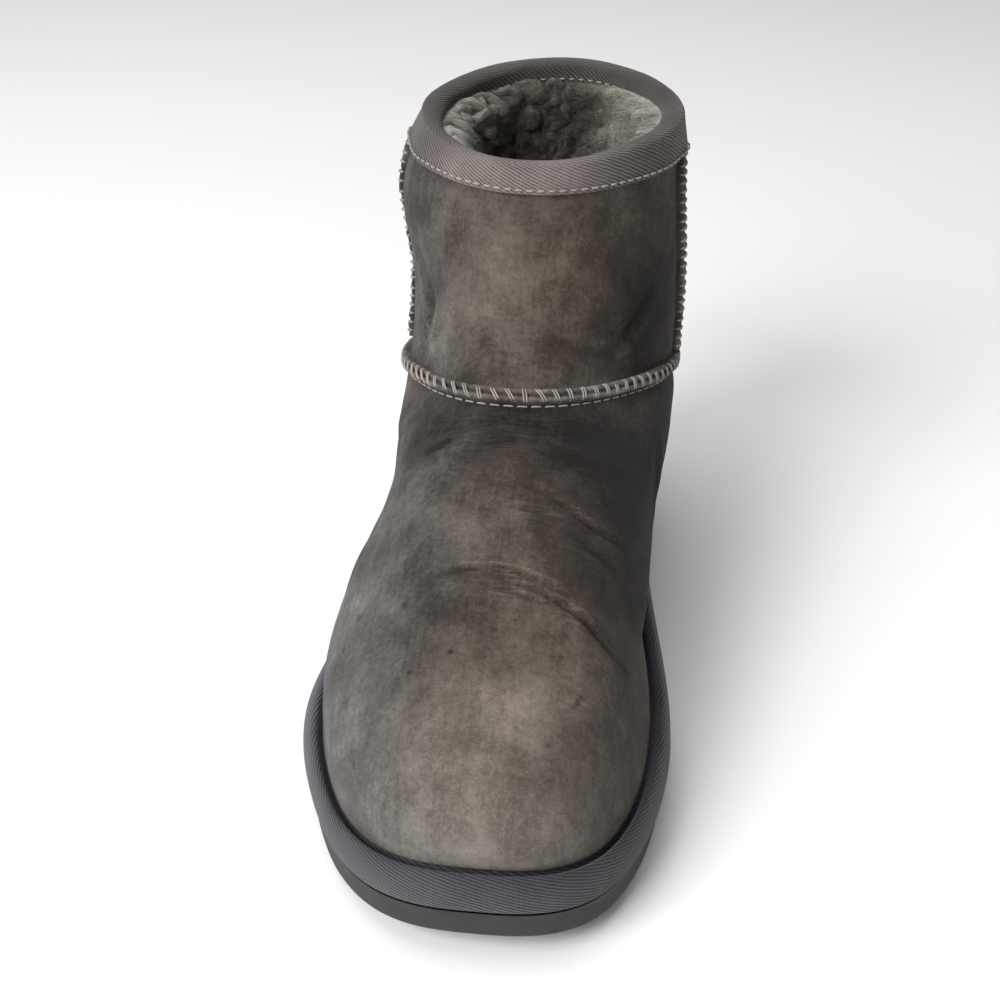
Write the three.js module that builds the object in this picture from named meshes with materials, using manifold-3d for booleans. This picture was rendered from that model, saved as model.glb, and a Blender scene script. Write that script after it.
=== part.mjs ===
// A sheepskin ankle boot for the right foot, in millimetres.
// +Z is up, the toe points to -Y and the inner side of the foot is +X. The boot stands on z = 0.
// The foot and the shaft are one skin, lofted through hoops that lie round the boot like the hoops of
// a barrel, and every piece is cut, offset or swept from that skin.
import * as THREE from "three";
import Module from "manifold-3d";
import { mergeVertices } from "three/addons/utils/BufferGeometryUtils.js";

// Driving dimensions.
const SOLE_LENGTH = 268;
const RIM_MARGIN = 6.2; // how far the fabric rim stands out past the foot of the upper
const TOE_RIM_SHARE = 0.67; // the part of that margin that is left at the toe, where the upper bulges over it
const HEEL_STACK = 26; // floor to the top of the rim, under the heel
const FOREFOOT_STACK = 21;
const RIM_HEIGHT = 12.5;
const TOE_SPRING = 9;
const ARCH_RISE = 2;
const WALL = 8; // hide of 2 with 6 of shorn wool inside
const PRESSED_WALL = 3.8; // the same wall where the collar tape squeezes it
const GAP = 0.3;
const TAPE = 1.3;
const TAPE_DEPTH = 11; // how far the tape reaches down at the back and the sides
const TAPE_FRONT_DEPTH = 8;
const INSOLE = 7;

const COLUMNS = 64; // points round every hoop: half down the outer side, half back up the inner side
const HALF = COLUMNS / 2;

// Side-view landmarks, measured along the sole from its back end.
const HEEL_FLAT_END = 95;
const ARCH_TOP = 125;
const FOREFOOT_FLAT_START = 155;
const SPRING_START = 205;

// Hoops from the sole to the collar. back and front are [distance from the back of the sole, height].
// heel, waist, ball and toe are half widths, blunt is the exponent of the rounded ends, and lean
// shifts the whole hoop to the inner side.
const HOOPS = [
  { name: "footprint", back: [6.2, 26], front: [263.8, 26], heel: 33, waist: 35.5, ball: 48.8, toe: 49.4, blunt: 2.9, lean: 0 },
  { name: "bulge", back: [4, 39], front: [265.5, 40], heel: 36, waist: 38.5, ball: 46, toe: 47, blunt: 2.8, lean: -1 },
  { name: "shoulder", back: [4.5, 45], front: [255.5, 54], heel: 37, waist: 40, ball: 44.8, toe: 43, blunt: 2.6, lean: 1.2 },
  { name: "toe_top", back: [5.5, 50], front: [234, 64], heel: 38, waist: 41, ball: 41, toe: 38.8, blunt: 2.5, lean: 2.2 },
  { name: "vamp", back: [7, 54], front: [202, 73], heel: 39, waist: 42, ball: 41, toe: 39, blunt: 2.4, lean: 3 },
  { name: "instep", back: [9, 59], front: [168, 83.5], heel: 39.5, waist: 43.5, ball: 43, toe: 40, blunt: 2.3, lean: 2 },
  { name: "ankle", back: [11.5, 65], front: [137, 94.5], heel: 40, waist: 43.5, ball: 42.5, toe: 39.5, blunt: 2.1, lean: 0 },
  { name: "calf", back: [14, 98], front: [119, 116], heel: 40, waist: 43, ball: 42.5, toe: 40.5, blunt: 2.1, lean: 0.3 },
  { name: "under_tape", back: [13.5, 134], front: [108, 138], heel: 40.5, waist: 44, ball: 43.5, toe: 40, blunt: 2.1, lean: -2.8 },
  { name: "collar", back: [14, 161], front: [104, 154], heel: 37, waist: 40, ball: 39.5, toe: 37, blunt: 2.1, lean: 0.4 },
];
const ANKLE = HOOPS.findIndex((h) => h.name === "ankle");
const COLLAR = HOOPS.length - 1;
const WIDTH_PLACES = [0.12, 0.4, 0.7, 0.9]; // where along a hoop its four half widths are measured

// Sideways swing of the last's centre line: distance along the sole, offset to the inner side.
const SWING = [
  [0, 5],
  [60, 4.5],
  [115, 2],
  [185, -1],
  [235, 2.5],
  [268, 5],
];

const clamp01 = (t) => Math.min(1, Math.max(0, t));
const lerp = (a, b, t) => a + (b - a) * t;

function smooth(from, to, value) {
  const t = clamp01((value - from) / (to - from));
  return t * t * (3 - 2 * t);
}

// Value at x of a smooth curve through [x, value] pairs, flat beyond both ends.
function through(pairs, x) {
  const last = pairs.length - 1;
  if (x <= pairs[0][0]) return pairs[0][1];
  if (x >= pairs[last][0]) return pairs[last][1];
  const i = pairs.findIndex((p) => p[0] > x) - 1;
  const slopeAt = (k) => {
    const [x0, v0] = pairs[Math.max(0, k - 1)];
    const [x1, v1] = pairs[Math.min(last, k + 1)];
    return k === 0 || k === last ? 0 : (v1 - v0) / (x1 - x0);
  };
  const [xa, va] = pairs[i];
  const [xb, vb] = pairs[i + 1];
  const span = xb - xa;
  const t = (x - xa) / span;
  const t2 = t * t;
  const t3 = t2 * t;
  return (
    va * (2 * t3 - 3 * t2 + 1) +
    slopeAt(i) * span * (t3 - 2 * t2 + t) +
    vb * (3 * t2 - 2 * t3) +
    slopeAt(i + 1) * span * (t3 - t2)
  );
}

const toY = (along) => SOLE_LENGTH / 2 - along;
const toAlong = (y) => SOLE_LENGTH / 2 - y;

function spring(along) {
  return TOE_SPRING * clamp01((along - SPRING_START) / (SOLE_LENGTH - SPRING_START)) ** 2;
}

function soleBottom(along) {
  const arch = smooth(HEEL_FLAT_END, ARCH_TOP, along) - smooth(ARCH_TOP, FOREFOOT_FLAT_START, along);
  return ARCH_RISE * arch + spring(along);
}

function soleTop(along) {
  return lerp(HEEL_STACK, FOREFOOT_STACK, smooth(50, 190, along)) + spring(along);
}

const CROWDING = 0.3; // how much closer the columns stand at the heel and the toe than at the sides

// Points of one side of a hoop, from its back to its front. side is -1 outer, 1 inner.
function hoopSide(hoop, side) {
  const widths = WIDTH_PLACES.map((place, i) => [place, [hoop.heel, hoop.waist, hoop.ball, hoop.toe][i]]);
  const dense = [];
  const steps = 400;
  for (let i = 0; i <= steps; i++) {
    const share = (1 - Math.cos((Math.PI * i) / steps)) / 2;
    const closing = (1 - Math.abs(1 - 2 * share) ** hoop.blunt) ** (1 / hoop.blunt);
    const along = lerp(hoop.back[0], hoop.front[0], share);
    dense.push(
      new THREE.Vector3(
        through(SWING, along) + hoop.lean + side * through(widths, share) * closing,
        toY(along),
        lerp(hoop.back[1], hoop.front[1], share),
      ),
    );
  }
  const lengths = [0];
  for (let i = 1; i <= steps; i++) lengths.push(lengths[i - 1] + dense[i].distanceTo(dense[i - 1]));
  const points = [];
  for (let k = 0, i = 1; k <= HALF; k++) {
    const share = k / HALF;
    const target = lengths[steps] * (share - (CROWDING * Math.sin(2 * Math.PI * share)) / (2 * Math.PI));
    while (i < steps && lengths[i] < target) i++;
    const t = (target - lengths[i - 1]) / (lengths[i] - lengths[i - 1]);
    points.push(dense[i - 1].clone().lerp(dense[i], t));
  }
  return points;
}

// The whole ring of a hoop: column 0 at the back, HALF at the front, outer side first.
function hoopRing(hoop) {
  const outer = hoopSide(hoop, -1);
  const inner = hoopSide(hoop, 1);
  return [...outer.slice(0, HALF), ...inner.slice(1).reverse()];
}

const rings = HOOPS.map(hoopRing);
for (const p of rings[0]) p.z = soleTop(toAlong(p.y)) + GAP;
const ribs = Array.from(
  { length: COLUMNS },
  (_, i) => new THREE.CatmullRomCurve3(rings.map((ring) => ring[i]), false, "centripetal"),
);

const skinPoint = (column, level) =>
  ribs[(column + COLUMNS) % COLUMNS].getPoint(clamp01(level / COLLAR), new THREE.Vector3());

function skinNormal(column, level) {
  const step = 0.02;
  const up = skinPoint(column, level + step).sub(skinPoint(column, level - step));
  const round = skinPoint(column + 1, level).sub(skinPoint(column - 1, level));
  return round.cross(up).normalize();
}

// The level reached from a level by going a distance up (down when negative) along one column.
function levelAfter(column, level, distance) {
  const steps = 6;
  const share = distance / steps;
  const ahead = Math.sign(distance) * 0.02;
  let reached = level;
  for (let i = 0; i < steps; i++) {
    const speed = skinPoint(column, reached + ahead).distanceTo(skinPoint(column, reached)) / 0.02;
    reached += share / speed;
  }
  return reached;
}

// A ring of the skin moved outwards by proud (inwards when negative) and raised by lift. The level is
// one number for the whole ring, or a list with one for every column.
function skinRing(level, proud = 0, lift = 0) {
  const raise = new THREE.Vector3(0, 0, lift);
  return Array.from({ length: COLUMNS }, (_, i) => {
    const own = Array.isArray(level) ? level[i] : level;
    return skinPoint(i, own).addScaledVector(skinNormal(i, own), proud).add(raise);
  });
}

const levelsAt = (start, distance) => Array.from({ length: COLUMNS }, (_, i) => levelAfter(i, start, distance));
const between = (low, high, share) => low.map((value, i) => lerp(value, high[i], share));

function geometryOf(points, triangles) {
  const positions = triangles.flat().flatMap((i) => points[i].toArray());
  return new THREE.BufferGeometry().setAttribute("position", new THREE.Float32BufferAttribute(positions, 3));
}

// Joins rows of equal length into a wall of triangles. Every row closes on itself, and so do the rows
// when closed is set. Otherwise the first and last row are filled in, point against mirrored point.
function wall(rows, closed) {
  const width = rows[0].length;
  const points = rows.flat();
  const triangles = [];
  const spans = closed ? rows.length : rows.length - 1;
  const quad = (a, b, c, d) => triangles.push([a, b, c], [a, c, d]);
  for (let r = 0; r < spans; r++) {
    const low = r * width;
    const high = ((r + 1) % rows.length) * width;
    for (let i = 0; i < width; i++) {
      const j = (i + 1) % width;
      quad(low + i, low + j, high + j, high + i);
    }
  }
  if (!closed) {
    const top = (rows.length - 1) * width;
    for (let i = 0; i < width / 2; i++) {
      const j = (width - i) % width;
      const k = width - i - 1;
      quad(i, j, k, i + 1);
      quad(top + i, top + i + 1, top + k, top + j);
    }
  }
  const real = triangles.filter(([a, b, c]) => a !== b && b !== c && c !== a);
  return geometryOf(points, real);
}

const range = (from, to, steps) => Array.from({ length: steps + 1 }, (_, i) => lerp(from, to, i / steps));

// Seam allowance turned outwards: two hide edges side by side, with a groove between. Each pair is how
// far the point stands off the skin and how far it is to one side of the seam.
const SEAM_HALF = 2.6;
const SEAM_PROFILE = [
  [GAP, 0],
  [GAP, -SEAM_HALF],
  [2.6, -SEAM_HALF],
  [3.4, -1.6],
  [2.9, 0],
  [3.4, 1.6],
  [2.6, SEAM_HALF],
  [GAP, SEAM_HALF],
];

const UNDER_SEAM = levelsAt(ANKLE, -SEAM_HALF);
const OVER_SEAM = levelsAt(ANKLE, SEAM_HALF);

// How far down the tape reaches on each column: the collar dips at the front, and the tape's edge doesn't.
const tapeDepths = Array.from({ length: COLUMNS }, (_, i) => {
  const towardsFront = (1 - Math.cos((2 * Math.PI * i) / COLUMNS)) / 2;
  return lerp(TAPE_DEPTH, TAPE_FRONT_DEPTH, smooth(0.5, 1, towardsFront));
});
const levelsBelowCollar = (distanceOf) => tapeDepths.map((depth, i) => levelAfter(i, COLLAR, -distanceOf(depth)));
const TAPE_LOW = levelsBelowCollar((depth) => depth);
const TAPE_MIDDLE = levelsBelowCollar((depth) => depth / 2);
const WALL_NARROWS = levelsBelowCollar((depth) => depth + 7);

// Foot of the upper: one sheepskin shell, open underneath and at the ankle.
function upperGeometry() {
  const levels = [0, 0.5, 1, 1.4, 1.8, 2.2, 2.6, 3, 3.5, 4, 4.5, 5, 5.5, UNDER_SEAM];
  const outside = [...levels.map((level) => skinRing(level)), skinRing(ANKLE, 0, -GAP)];
  const lining = [0, 1, 2, 3, 4, 5, UNDER_SEAM];
  const inside = [...lining.map((level) => skinRing(level, -WALL)), skinRing(ANKLE, -WALL, -GAP)];
  for (const p of inside[0]) p.z = soleTop(toAlong(p.y)) + GAP;
  return wall([...outside, ...inside.reverse()], true);
}

// Shaft: a tube from the ankle seam up to the collar, squeezed thinner under the tape.
function shaftGeometry() {
  const shares = (steps) => range(0, 1, steps).map((share) => between(OVER_SEAM, WALL_NARROWS, share));
  const taped = [TAPE_LOW, TAPE_MIDDLE, COLLAR];
  const outside = [skinRing(ANKLE, 0, GAP), ...[...shares(6), ...taped].map((level) => skinRing(level))];
  const inside = [
    skinRing(ANKLE, -WALL, GAP),
    ...shares(3).map((level) => skinRing(level, -WALL)),
    ...taped.map((level) => skinRing(level, -PRESSED_WALL)),
  ];
  return wall([...outside, ...inside.reverse()], true);
}

// Twill tape folded over the collar, down both faces of the wall.
function bindingGeometry() {
  const near = PRESSED_WALL + GAP;
  const rows = [
    skinRing(TAPE_LOW, GAP),
    skinRing(TAPE_LOW, GAP + TAPE),
    skinRing(TAPE_MIDDLE, GAP + TAPE),
    skinRing(COLLAR, GAP + TAPE),
    skinRing(COLLAR, GAP - 0.5, 1.7),
    skinRing(COLLAR, -PRESSED_WALL / 2, 2.4),
    skinRing(COLLAR, 0.5 - near, 1.7),
    skinRing(COLLAR, -near - TAPE),
    skinRing(TAPE_MIDDLE, -near - TAPE),
    skinRing(TAPE_LOW, -near - TAPE),
    skinRing(TAPE_LOW, -near),
    skinRing(TAPE_MIDDLE, -near),
    skinRing(COLLAR, -near, GAP),
    skinRing(COLLAR, GAP, GAP),
    skinRing(TAPE_MIDDLE, GAP),
  ];
  return wall(rows, true);
}

// The seam allowance round the ankle.
function ankleSeamGeometry() {
  const levelsOf = { [-SEAM_HALF]: UNDER_SEAM, [SEAM_HALF]: OVER_SEAM };
  const rows = SEAM_PROFILE.map(([proud, height]) =>
    skinRing(levelsOf[height] ?? levelsAt(ANKLE, height || 0.001), proud),
  );
  return wall(rows, true);
}

// Seam allowance up one side of the shaft, from the ankle seam to the tape.
function sideSeamGeometry(column) {
  const low = levelAfter(column, ANKLE, SEAM_HALF + 1.4);
  const high = levelAfter(column, COLLAR, -TAPE_DEPTH - 0.6);
  const rows = range(low, high, 14).map((level) => {
    const round = skinPoint(column + 1, level).sub(skinPoint(column - 1, level)).normalize();
    return SEAM_PROFILE.slice(1).map(([proud, sideways]) =>
      skinPoint(column, level)
        .addScaledVector(skinNormal(column, level), proud + GAP)
        .addScaledVector(round, sideways),
    );
  });
  return strip(rows);
}

// A closed bar from rows of profile points, with flat ends.
function strip(rows) {
  const width = rows[0].length;
  const points = rows.flat();
  const triangles = [];
  for (let r = 0; r < rows.length - 1; r++) {
    for (let i = 0; i < width; i++) {
      const j = (i + 1) % width;
      const a = r * width;
      const b = a + width;
      triangles.push([a + i, a + j, b + j], [a + i, b + j, b + i]);
    }
  }
  const top = (rows.length - 1) * width;
  for (let i = 1; i < width - 1; i++) triangles.push([0, i + 1, i], [top, top + i, top + i + 1]);
  return geometryOf(points, triangles);
}

// The footprint moved outwards in plan by a margin.
function soleOutline(margin) {
  const ring = rings[0];
  return ring.map((p, i) => {
    const before = ring[(i + COLUMNS - 1) % COLUMNS];
    const after = ring[(i + 1) % COLUMNS];
    const outwards = new THREE.Vector3(after.y - before.y, before.x - after.x, 0).normalize();
    const share = margin > 0 ? lerp(1, TOE_RIM_SHARE, smooth(195, 250, toAlong(p.y))) : 1;
    return p.clone().addScaledVector(outwards, margin * share);
  });
}

const placed = (margin, heightOf) =>
  soleOutline(margin).map((p) => new THREE.Vector3(p.x, p.y, heightOf(toAlong(p.y))));

// Midsole: a soft board whose edge is wrapped in fabric as a rounded rim.
function midsoleGeometry() {
  const low = (along) => soleTop(along) - RIM_HEIGHT;
  const rows = [
    placed(RIM_MARGIN - 3, low),
    placed(RIM_MARGIN - 0.8, (s) => low(s) + 1),
    placed(RIM_MARGIN, (s) => low(s) + 4),
    placed(RIM_MARGIN, (s) => low(s) + 8.5),
    placed(RIM_MARGIN - 1, (s) => low(s) + 11.2),
    placed(RIM_MARGIN - 2.4, (s) => low(s) + 12.3),
    placed(RIM_MARGIN - 3.7, (s) => low(s) + 12.4),
    placed(0.7, (s) => low(s) + 11.4),
    placed(-0.4, (s) => low(s) + 11.4),
    placed(-1.2, soleTop),
  ];
  return wall(rows, false);
}

// Insole: a sheepskin footbed inside the upper.
function insoleGeometry() {
  const base = (along) => soleTop(along) + GAP;
  const inside = -WALL - 0.8;
  const rows = [
    placed(inside, base),
    placed(inside - 1.6, (s) => base(s) + INSOLE - 1.5),
    placed(inside - 4, (s) => base(s) + INSOLE),
  ];
  return wall(rows, false);
}

const wasm = await Module();
wasm.setup();

function solid(geometry) {
  const merged = mergeVertices(geometry, 1e-3);
  return new wasm.Manifold(
    new wasm.Mesh({
      numProp: 3,
      vertProperties: merged.attributes.position.array,
      triVerts: new Uint32Array(merged.index.array),
    }),
  );
}

function geometryOfSolid(made) {
  const mesh = made.getMesh();
  const geometry = new THREE.BufferGeometry();
  geometry.setAttribute("position", new THREE.BufferAttribute(new Float32Array(mesh.vertProperties), 3));
  geometry.setIndex(new THREE.BufferAttribute(new Uint32Array(mesh.triVerts), 1));
  return geometry;
}

// Tread: curved grooves across the sole. centre is the distance of a groove's middle from the back of
// the sole, and sweep is how far its ends lie behind that middle.
const GROOVE = { width: 3.4, depth: 2.4, edge: 7 };
const GROOVES = [
  { centre: 24, sweep: -9 },
  { centre: 37, sweep: -9 },
  { centre: 50, sweep: -9 },
  { centre: 63, sweep: -9 },
  { centre: 76, sweep: -9 },
  { centre: 166, sweep: 12 },
  { centre: 179, sweep: 13 },
  { centre: 192, sweep: 14 },
  { centre: 205, sweep: 15 },
  { centre: 218, sweep: 16 },
  { centre: 231, sweep: 17 },
  { centre: 244, sweep: 18 },
];

function grooveSolid({ centre, sweep }) {
  const reach = 55;
  const xs = range(-reach, reach, 12);
  const lineAt = (x, aside) => [x, toY(centre - sweep * (x / reach) ** 2 + aside)];
  const outline = [
    ...xs.map((x) => lineAt(x, GROOVE.width / 2)),
    ...xs.reverse().map((x) => lineAt(x, -GROOVE.width / 2)),
  ];
  const field = placed(RIM_MARGIN - 3.5 - GROOVE.edge, () => 0).map((p) => [p.x, p.y]);
  const top = soleBottom(centre) + GROOVE.depth;
  return new wasm.CrossSection([outline])
    .intersect(new wasm.CrossSection([field]))
    .extrude(top + 2)
    .translate([0, 0, -2]);
}

// Outsole: a flat moulded unit with a raised arch and toe spring.
function outsoleGeometry() {
  const top = (along) => soleTop(along) - RIM_HEIGHT - GAP;
  const rows = [
    placed(RIM_MARGIN - 3.5, soleBottom),
    placed(RIM_MARGIN - 2, (s) => soleBottom(s) + 1.2),
    placed(RIM_MARGIN - 1.6, top),
  ];
  const grooves = GROOVES.map(grooveSolid);
  return geometryOfSolid(solid(wall(rows, false)).subtract(wasm.Manifold.union(grooves)));
}

const boot = new THREE.Group();

function add(name, geometry, color, roughness) {
  const mesh = new THREE.Mesh(geometry, new THREE.MeshStandardMaterial({ color, roughness, metalness: 0 }));
  mesh.name = name;
  boot.add(mesh);
  return mesh;
}

add("outsole", outsoleGeometry(), 0x3c3a3b, 0.85);
add("midsole", midsoleGeometry(), 0x4b484c, 0.9);
add("insole", insoleGeometry(), 0x8e8c82, 1);
add("upper", upperGeometry(), 0x5f5a54, 0.9);
add("shaft", shaftGeometry(), 0x5c5752, 0.9);
add("ankle_seam", ankleSeamGeometry(), 0x7d7771, 0.9);
add("side_seam_outer", sideSeamGeometry(HALF / 2), 0x7d7771, 0.9);
add("side_seam_inner", sideSeamGeometry(COLUMNS - HALF / 2), 0x7d7771, 0.9);
add("collar_binding", bindingGeometry(), 0x646068, 0.9);

// The origin is the middle of the footprint box, on the floor.
const box = new THREE.Box3().setFromObject(boot);
for (const piece of boot.children) {
  piece.geometry.translate(-(box.min.x + box.max.x) / 2, -(box.min.y + box.max.y) / 2, -box.min.z);
}

export default boot;
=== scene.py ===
from collections import namedtuple

import bmesh
import bpy
import numpy as np
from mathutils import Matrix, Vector


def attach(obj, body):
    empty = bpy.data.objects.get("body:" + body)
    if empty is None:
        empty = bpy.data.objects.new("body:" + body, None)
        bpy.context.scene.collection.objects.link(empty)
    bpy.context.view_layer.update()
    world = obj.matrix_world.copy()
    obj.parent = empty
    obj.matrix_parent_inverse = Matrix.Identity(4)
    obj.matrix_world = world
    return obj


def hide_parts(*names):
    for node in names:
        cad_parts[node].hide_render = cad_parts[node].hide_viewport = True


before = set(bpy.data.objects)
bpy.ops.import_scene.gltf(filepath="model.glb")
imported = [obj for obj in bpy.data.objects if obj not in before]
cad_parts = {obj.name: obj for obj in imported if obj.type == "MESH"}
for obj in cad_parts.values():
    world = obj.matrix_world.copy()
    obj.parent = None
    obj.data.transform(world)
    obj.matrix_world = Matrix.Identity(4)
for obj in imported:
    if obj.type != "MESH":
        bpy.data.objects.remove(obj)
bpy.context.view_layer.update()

# ---------------------------------------------------------------------------------------------------
# Foot of the upper: one sheepskin, suede side out, pulled over the last and closed at the ankle. The
# dyed suede is napped and worn: pale and dry over the toe, dark and greasy under the ankle seam, where
# the dark is partly painted shade, darkened with painted shadow over its inner side, and with folds
# across the vamp where the foot bends.

MM = 0.001
SOLE_LENGTH = 268
HEEL_STACK = 26  # floor to the foot of the upper, under the heel
FOREFOOT_STACK = 21
TOE_SPRING = 9
SPRING_START = 205
RIM_MARGIN = 6.2  # how far the rim stands out past the foot of the upper
TOE_RIM_SHARE = 0.67
GAP = 0.3
HIDE = 2  # the skin without its wool
WALL = 8  # the skin with its wool

ROUND = 384  # columns round the boot: 0 at the heel, the middle one at the toe, outer side first
TOE = ROUND // 2
OUTER_SEAM = ROUND // 4
INNER_SEAM = 3 * ROUND // 4
CROWDING = 0.3  # how much closer the columns stand at the heel and the toe

# The hoops that the skin is lofted through. back and front are (distance along the sole, height),
# heel to toe are half widths, blunt rounds the ends and lean shifts a hoop to the inner side.
Hoop = namedtuple("Hoop", "back front heel waist ball toe blunt lean")
HOOPS = {
    "footprint": Hoop((6.2, 26), (263.8, 26), 33, 35.5, 48.8, 49.4, 2.9, 0),
    "bulge": Hoop((4, 39), (265.5, 40), 36, 38.5, 46, 47, 2.8, -1),
    "shoulder": Hoop((4.5, 45), (255.5, 54), 37, 40, 44.8, 43, 2.6, 1.2),
    "toe_top": Hoop((5.5, 50), (234, 64), 38, 41, 41, 38.8, 2.5, 2.2),
    "vamp": Hoop((7, 54), (202, 73), 39, 42, 41, 39, 2.4, 3),
    "instep": Hoop((9, 59), (168, 83.5), 39.5, 43.5, 43, 40, 2.3, 2),
    "ankle": Hoop((11.5, 65), (137, 94.5), 40, 43.5, 42.5, 39.5, 2.1, 0),
    "calf": Hoop((14, 98), (119, 116), 40, 43, 42.5, 40.5, 2.1, 0.3),
    "under_tape": Hoop((13.5, 134), (108, 138), 40.5, 44, 43.5, 40, 2.1, -2.8),
    "collar": Hoop((14, 161), (104, 154), 37, 40, 39.5, 37, 2.1, 0.4),
}
ANKLE = list(HOOPS).index("ankle")
COLLAR = len(HOOPS) - 1
WIDTH_PLACES = [0.12, 0.4, 0.7, 0.9]  # where along a hoop its four half widths are measured
SWING = [(0, 5), (60, 4.5), (115, 2), (185, -1), (235, 2.5), (268, 5)]  # centre line of the last


def smooth(start, end, value):
    share = np.clip((value - start) / (end - start), 0, 1)
    return share * share * (3 - 2 * share)


def through(pairs, x):
    """Values at x of a smooth curve through (x, value) pairs, flat beyond both ends."""
    places, values = np.array(pairs, float).T
    slopes = np.zeros(len(places))
    slopes[1:-1] = (values[2:] - values[:-2]) / (places[2:] - places[:-2])
    x = np.clip(x, places[0], places[-1])
    i = np.clip(np.searchsorted(places, x, side="right") - 1, 0, len(places) - 2)
    span = places[i + 1] - places[i]
    t = (x - places[i]) / span
    ends = values[i] * (2 * t**3 - 3 * t**2 + 1) + values[i + 1] * (3 * t**2 - 2 * t**3)
    return ends + span * (slopes[i] * (t**3 - 2 * t**2 + t) + slopes[i + 1] * (t**3 - t**2))


def sole_spring(along):
    return TOE_SPRING * np.clip((along - SPRING_START) / (SOLE_LENGTH - SPRING_START), 0, 1) ** 2


def sole_top(along):
    drop = (HEEL_STACK - FOREFOOT_STACK) * smooth(50, 190, along)
    return HEEL_STACK - drop + sole_spring(along)


def lengths(line):
    """Distance from the start of a line to each of its points."""
    return np.r_[0, np.cumsum(np.linalg.norm(np.diff(line, axis=0), axis=1))]


def resampled(line, targets):
    """Points of a line at the given distances from its start."""
    return np.stack([np.interp(targets, lengths(line), line[:, axis]) for axis in range(3)], axis=1)


def hoop_ring(hoop, columns=ROUND):
    """A whole hoop as points, from the heel down the outer side to the toe and back up the inner."""
    share = (1 - np.cos(np.linspace(0, np.pi, 401))) / 2
    closing = (1 - np.abs(1 - 2 * share) ** hoop.blunt) ** (1 / hoop.blunt)
    half_widths = through(list(zip(WIDTH_PLACES, hoop[2:6])), share) * closing
    along = hoop.back[0] + (hoop.front[0] - hoop.back[0]) * share
    height = hoop.back[1] + (hoop.front[1] - hoop.back[1]) * share
    even = np.linspace(0, 1, columns // 2 + 1)
    crowded = even - CROWDING * np.sin(2 * np.pi * even) / (2 * np.pi)
    sides = []
    for side in (-1, 1):
        x = through(SWING, along) + hoop.lean + side * half_widths
        line = np.stack([x, SOLE_LENGTH / 2 - along, height], axis=1)
        sides.append(resampled(line, lengths(line)[-1] * crowded))
    outer, inner = sides
    return np.concatenate([outer[:-1], inner[:0:-1]])


def along_of(points):
    return SOLE_LENGTH / 2 - points[..., 1]


def unit(vectors):
    return vectors / np.linalg.norm(vectors, axis=-1, keepdims=True)


rings = np.stack([hoop_ring(hoop) for hoop in HOOPS.values()])
rings[0, :, 2] = sole_top(along_of(rings[0])) + GAP
knots = np.concatenate([2 * rings[:1] - rings[1:2], rings, 2 * rings[-1:] - rings[-2:-1]])
NUDGE = 0.02  # the small step in level over which a slope is measured


def skin(level):
    """Points of the skin on every column. Level 0 is the footprint, and each hoop above it is one more."""
    level = np.clip(np.broadcast_to(level, ROUND), 0, COLLAR)
    below = np.minimum(level.astype(int), COLLAR - 1)
    t = (level - below)[:, None]
    p0, p1, p2, p3 = (knots[below + i, np.arange(ROUND)] for i in range(4))
    d0, d1, d2 = (np.linalg.norm(b - a, axis=1)[:, None] ** 0.5 for a, b in ((p0, p1), (p1, p2), (p2, p3)))
    leaving = ((p1 - p0) / d0 - (p2 - p0) / (d0 + d1) + (p2 - p1) / d1) * d1
    arriving = ((p2 - p1) / d1 - (p3 - p1) / (d1 + d2) + (p3 - p2) / d2) * d1
    return (
        p1
        + leaving * t
        + (3 * (p2 - p1) - 2 * leaving - arriving) * t**2
        + (2 * (p1 - p2) + leaving + arriving) * t**3
    )


def skin_normal(level):
    here = skin(level)
    up = skin(level + NUDGE) - skin(level - NUDGE)
    return unit(np.cross(np.roll(here, -1, axis=0) - np.roll(here, 1, axis=0), up))


def level_after(level, distance):
    """Levels reached by going a distance up every column, or down when it is negative."""
    steps = 6
    reached = np.broadcast_to(level, ROUND).astype(float)
    for _ in range(steps):
        ahead = NUDGE * np.sign(distance)
        speed = np.linalg.norm(skin(reached + ahead) - skin(reached), axis=1) / NUDGE
        reached = reached + distance / steps / speed
    return reached


def even_levels(low, high, rows):
    """Levels that stand at even distances up the front of the boot."""
    fine = np.linspace(low, high, 300)
    height = lengths(np.stack([skin(level)[TOE] for level in fine]))
    return np.interp(np.linspace(0, height[-1], rows), height, fine)


def skin_rows(levels, proud=0):
    """A row of skin points for each level, moved outwards by proud, or inwards when it is negative."""
    return np.stack([skin(level) + skin_normal(level) * proud for level in levels])


def closed(rows):
    """Rows with their first column repeated, so that they close round the boot."""
    return np.concatenate([rows, rows[:, :1]], axis=1)


def sole_outline(margin, columns=ROUND):
    """The footprint moved outwards in plan by a margin, which narrows at the toe."""
    ring = hoop_ring(HOOPS["footprint"], columns)
    before, after = np.roll(ring, 1, axis=0), np.roll(ring, -1, axis=0)
    outwards = np.stack([after[:, 1] - before[:, 1], before[:, 0] - after[:, 0], 0 * ring[:, 0]], axis=1)
    narrowing = 1 - (1 - TOE_RIM_SHARE) * smooth(195, 250, along_of(ring)) if margin > 0 else 1
    return ring + unit(outwards) * (margin * narrowing * np.ones(columns))[:, None]


# The part's origin is the middle of its footprint box.
rim_edge = sole_outline(RIM_MARGIN)
origin = (rim_edge.min(axis=0) + rim_edge.max(axis=0)) / 2
origin[2] = 0


NOISE_CELLS = 32  # cells a side in the block of random values, which repeats


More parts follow.
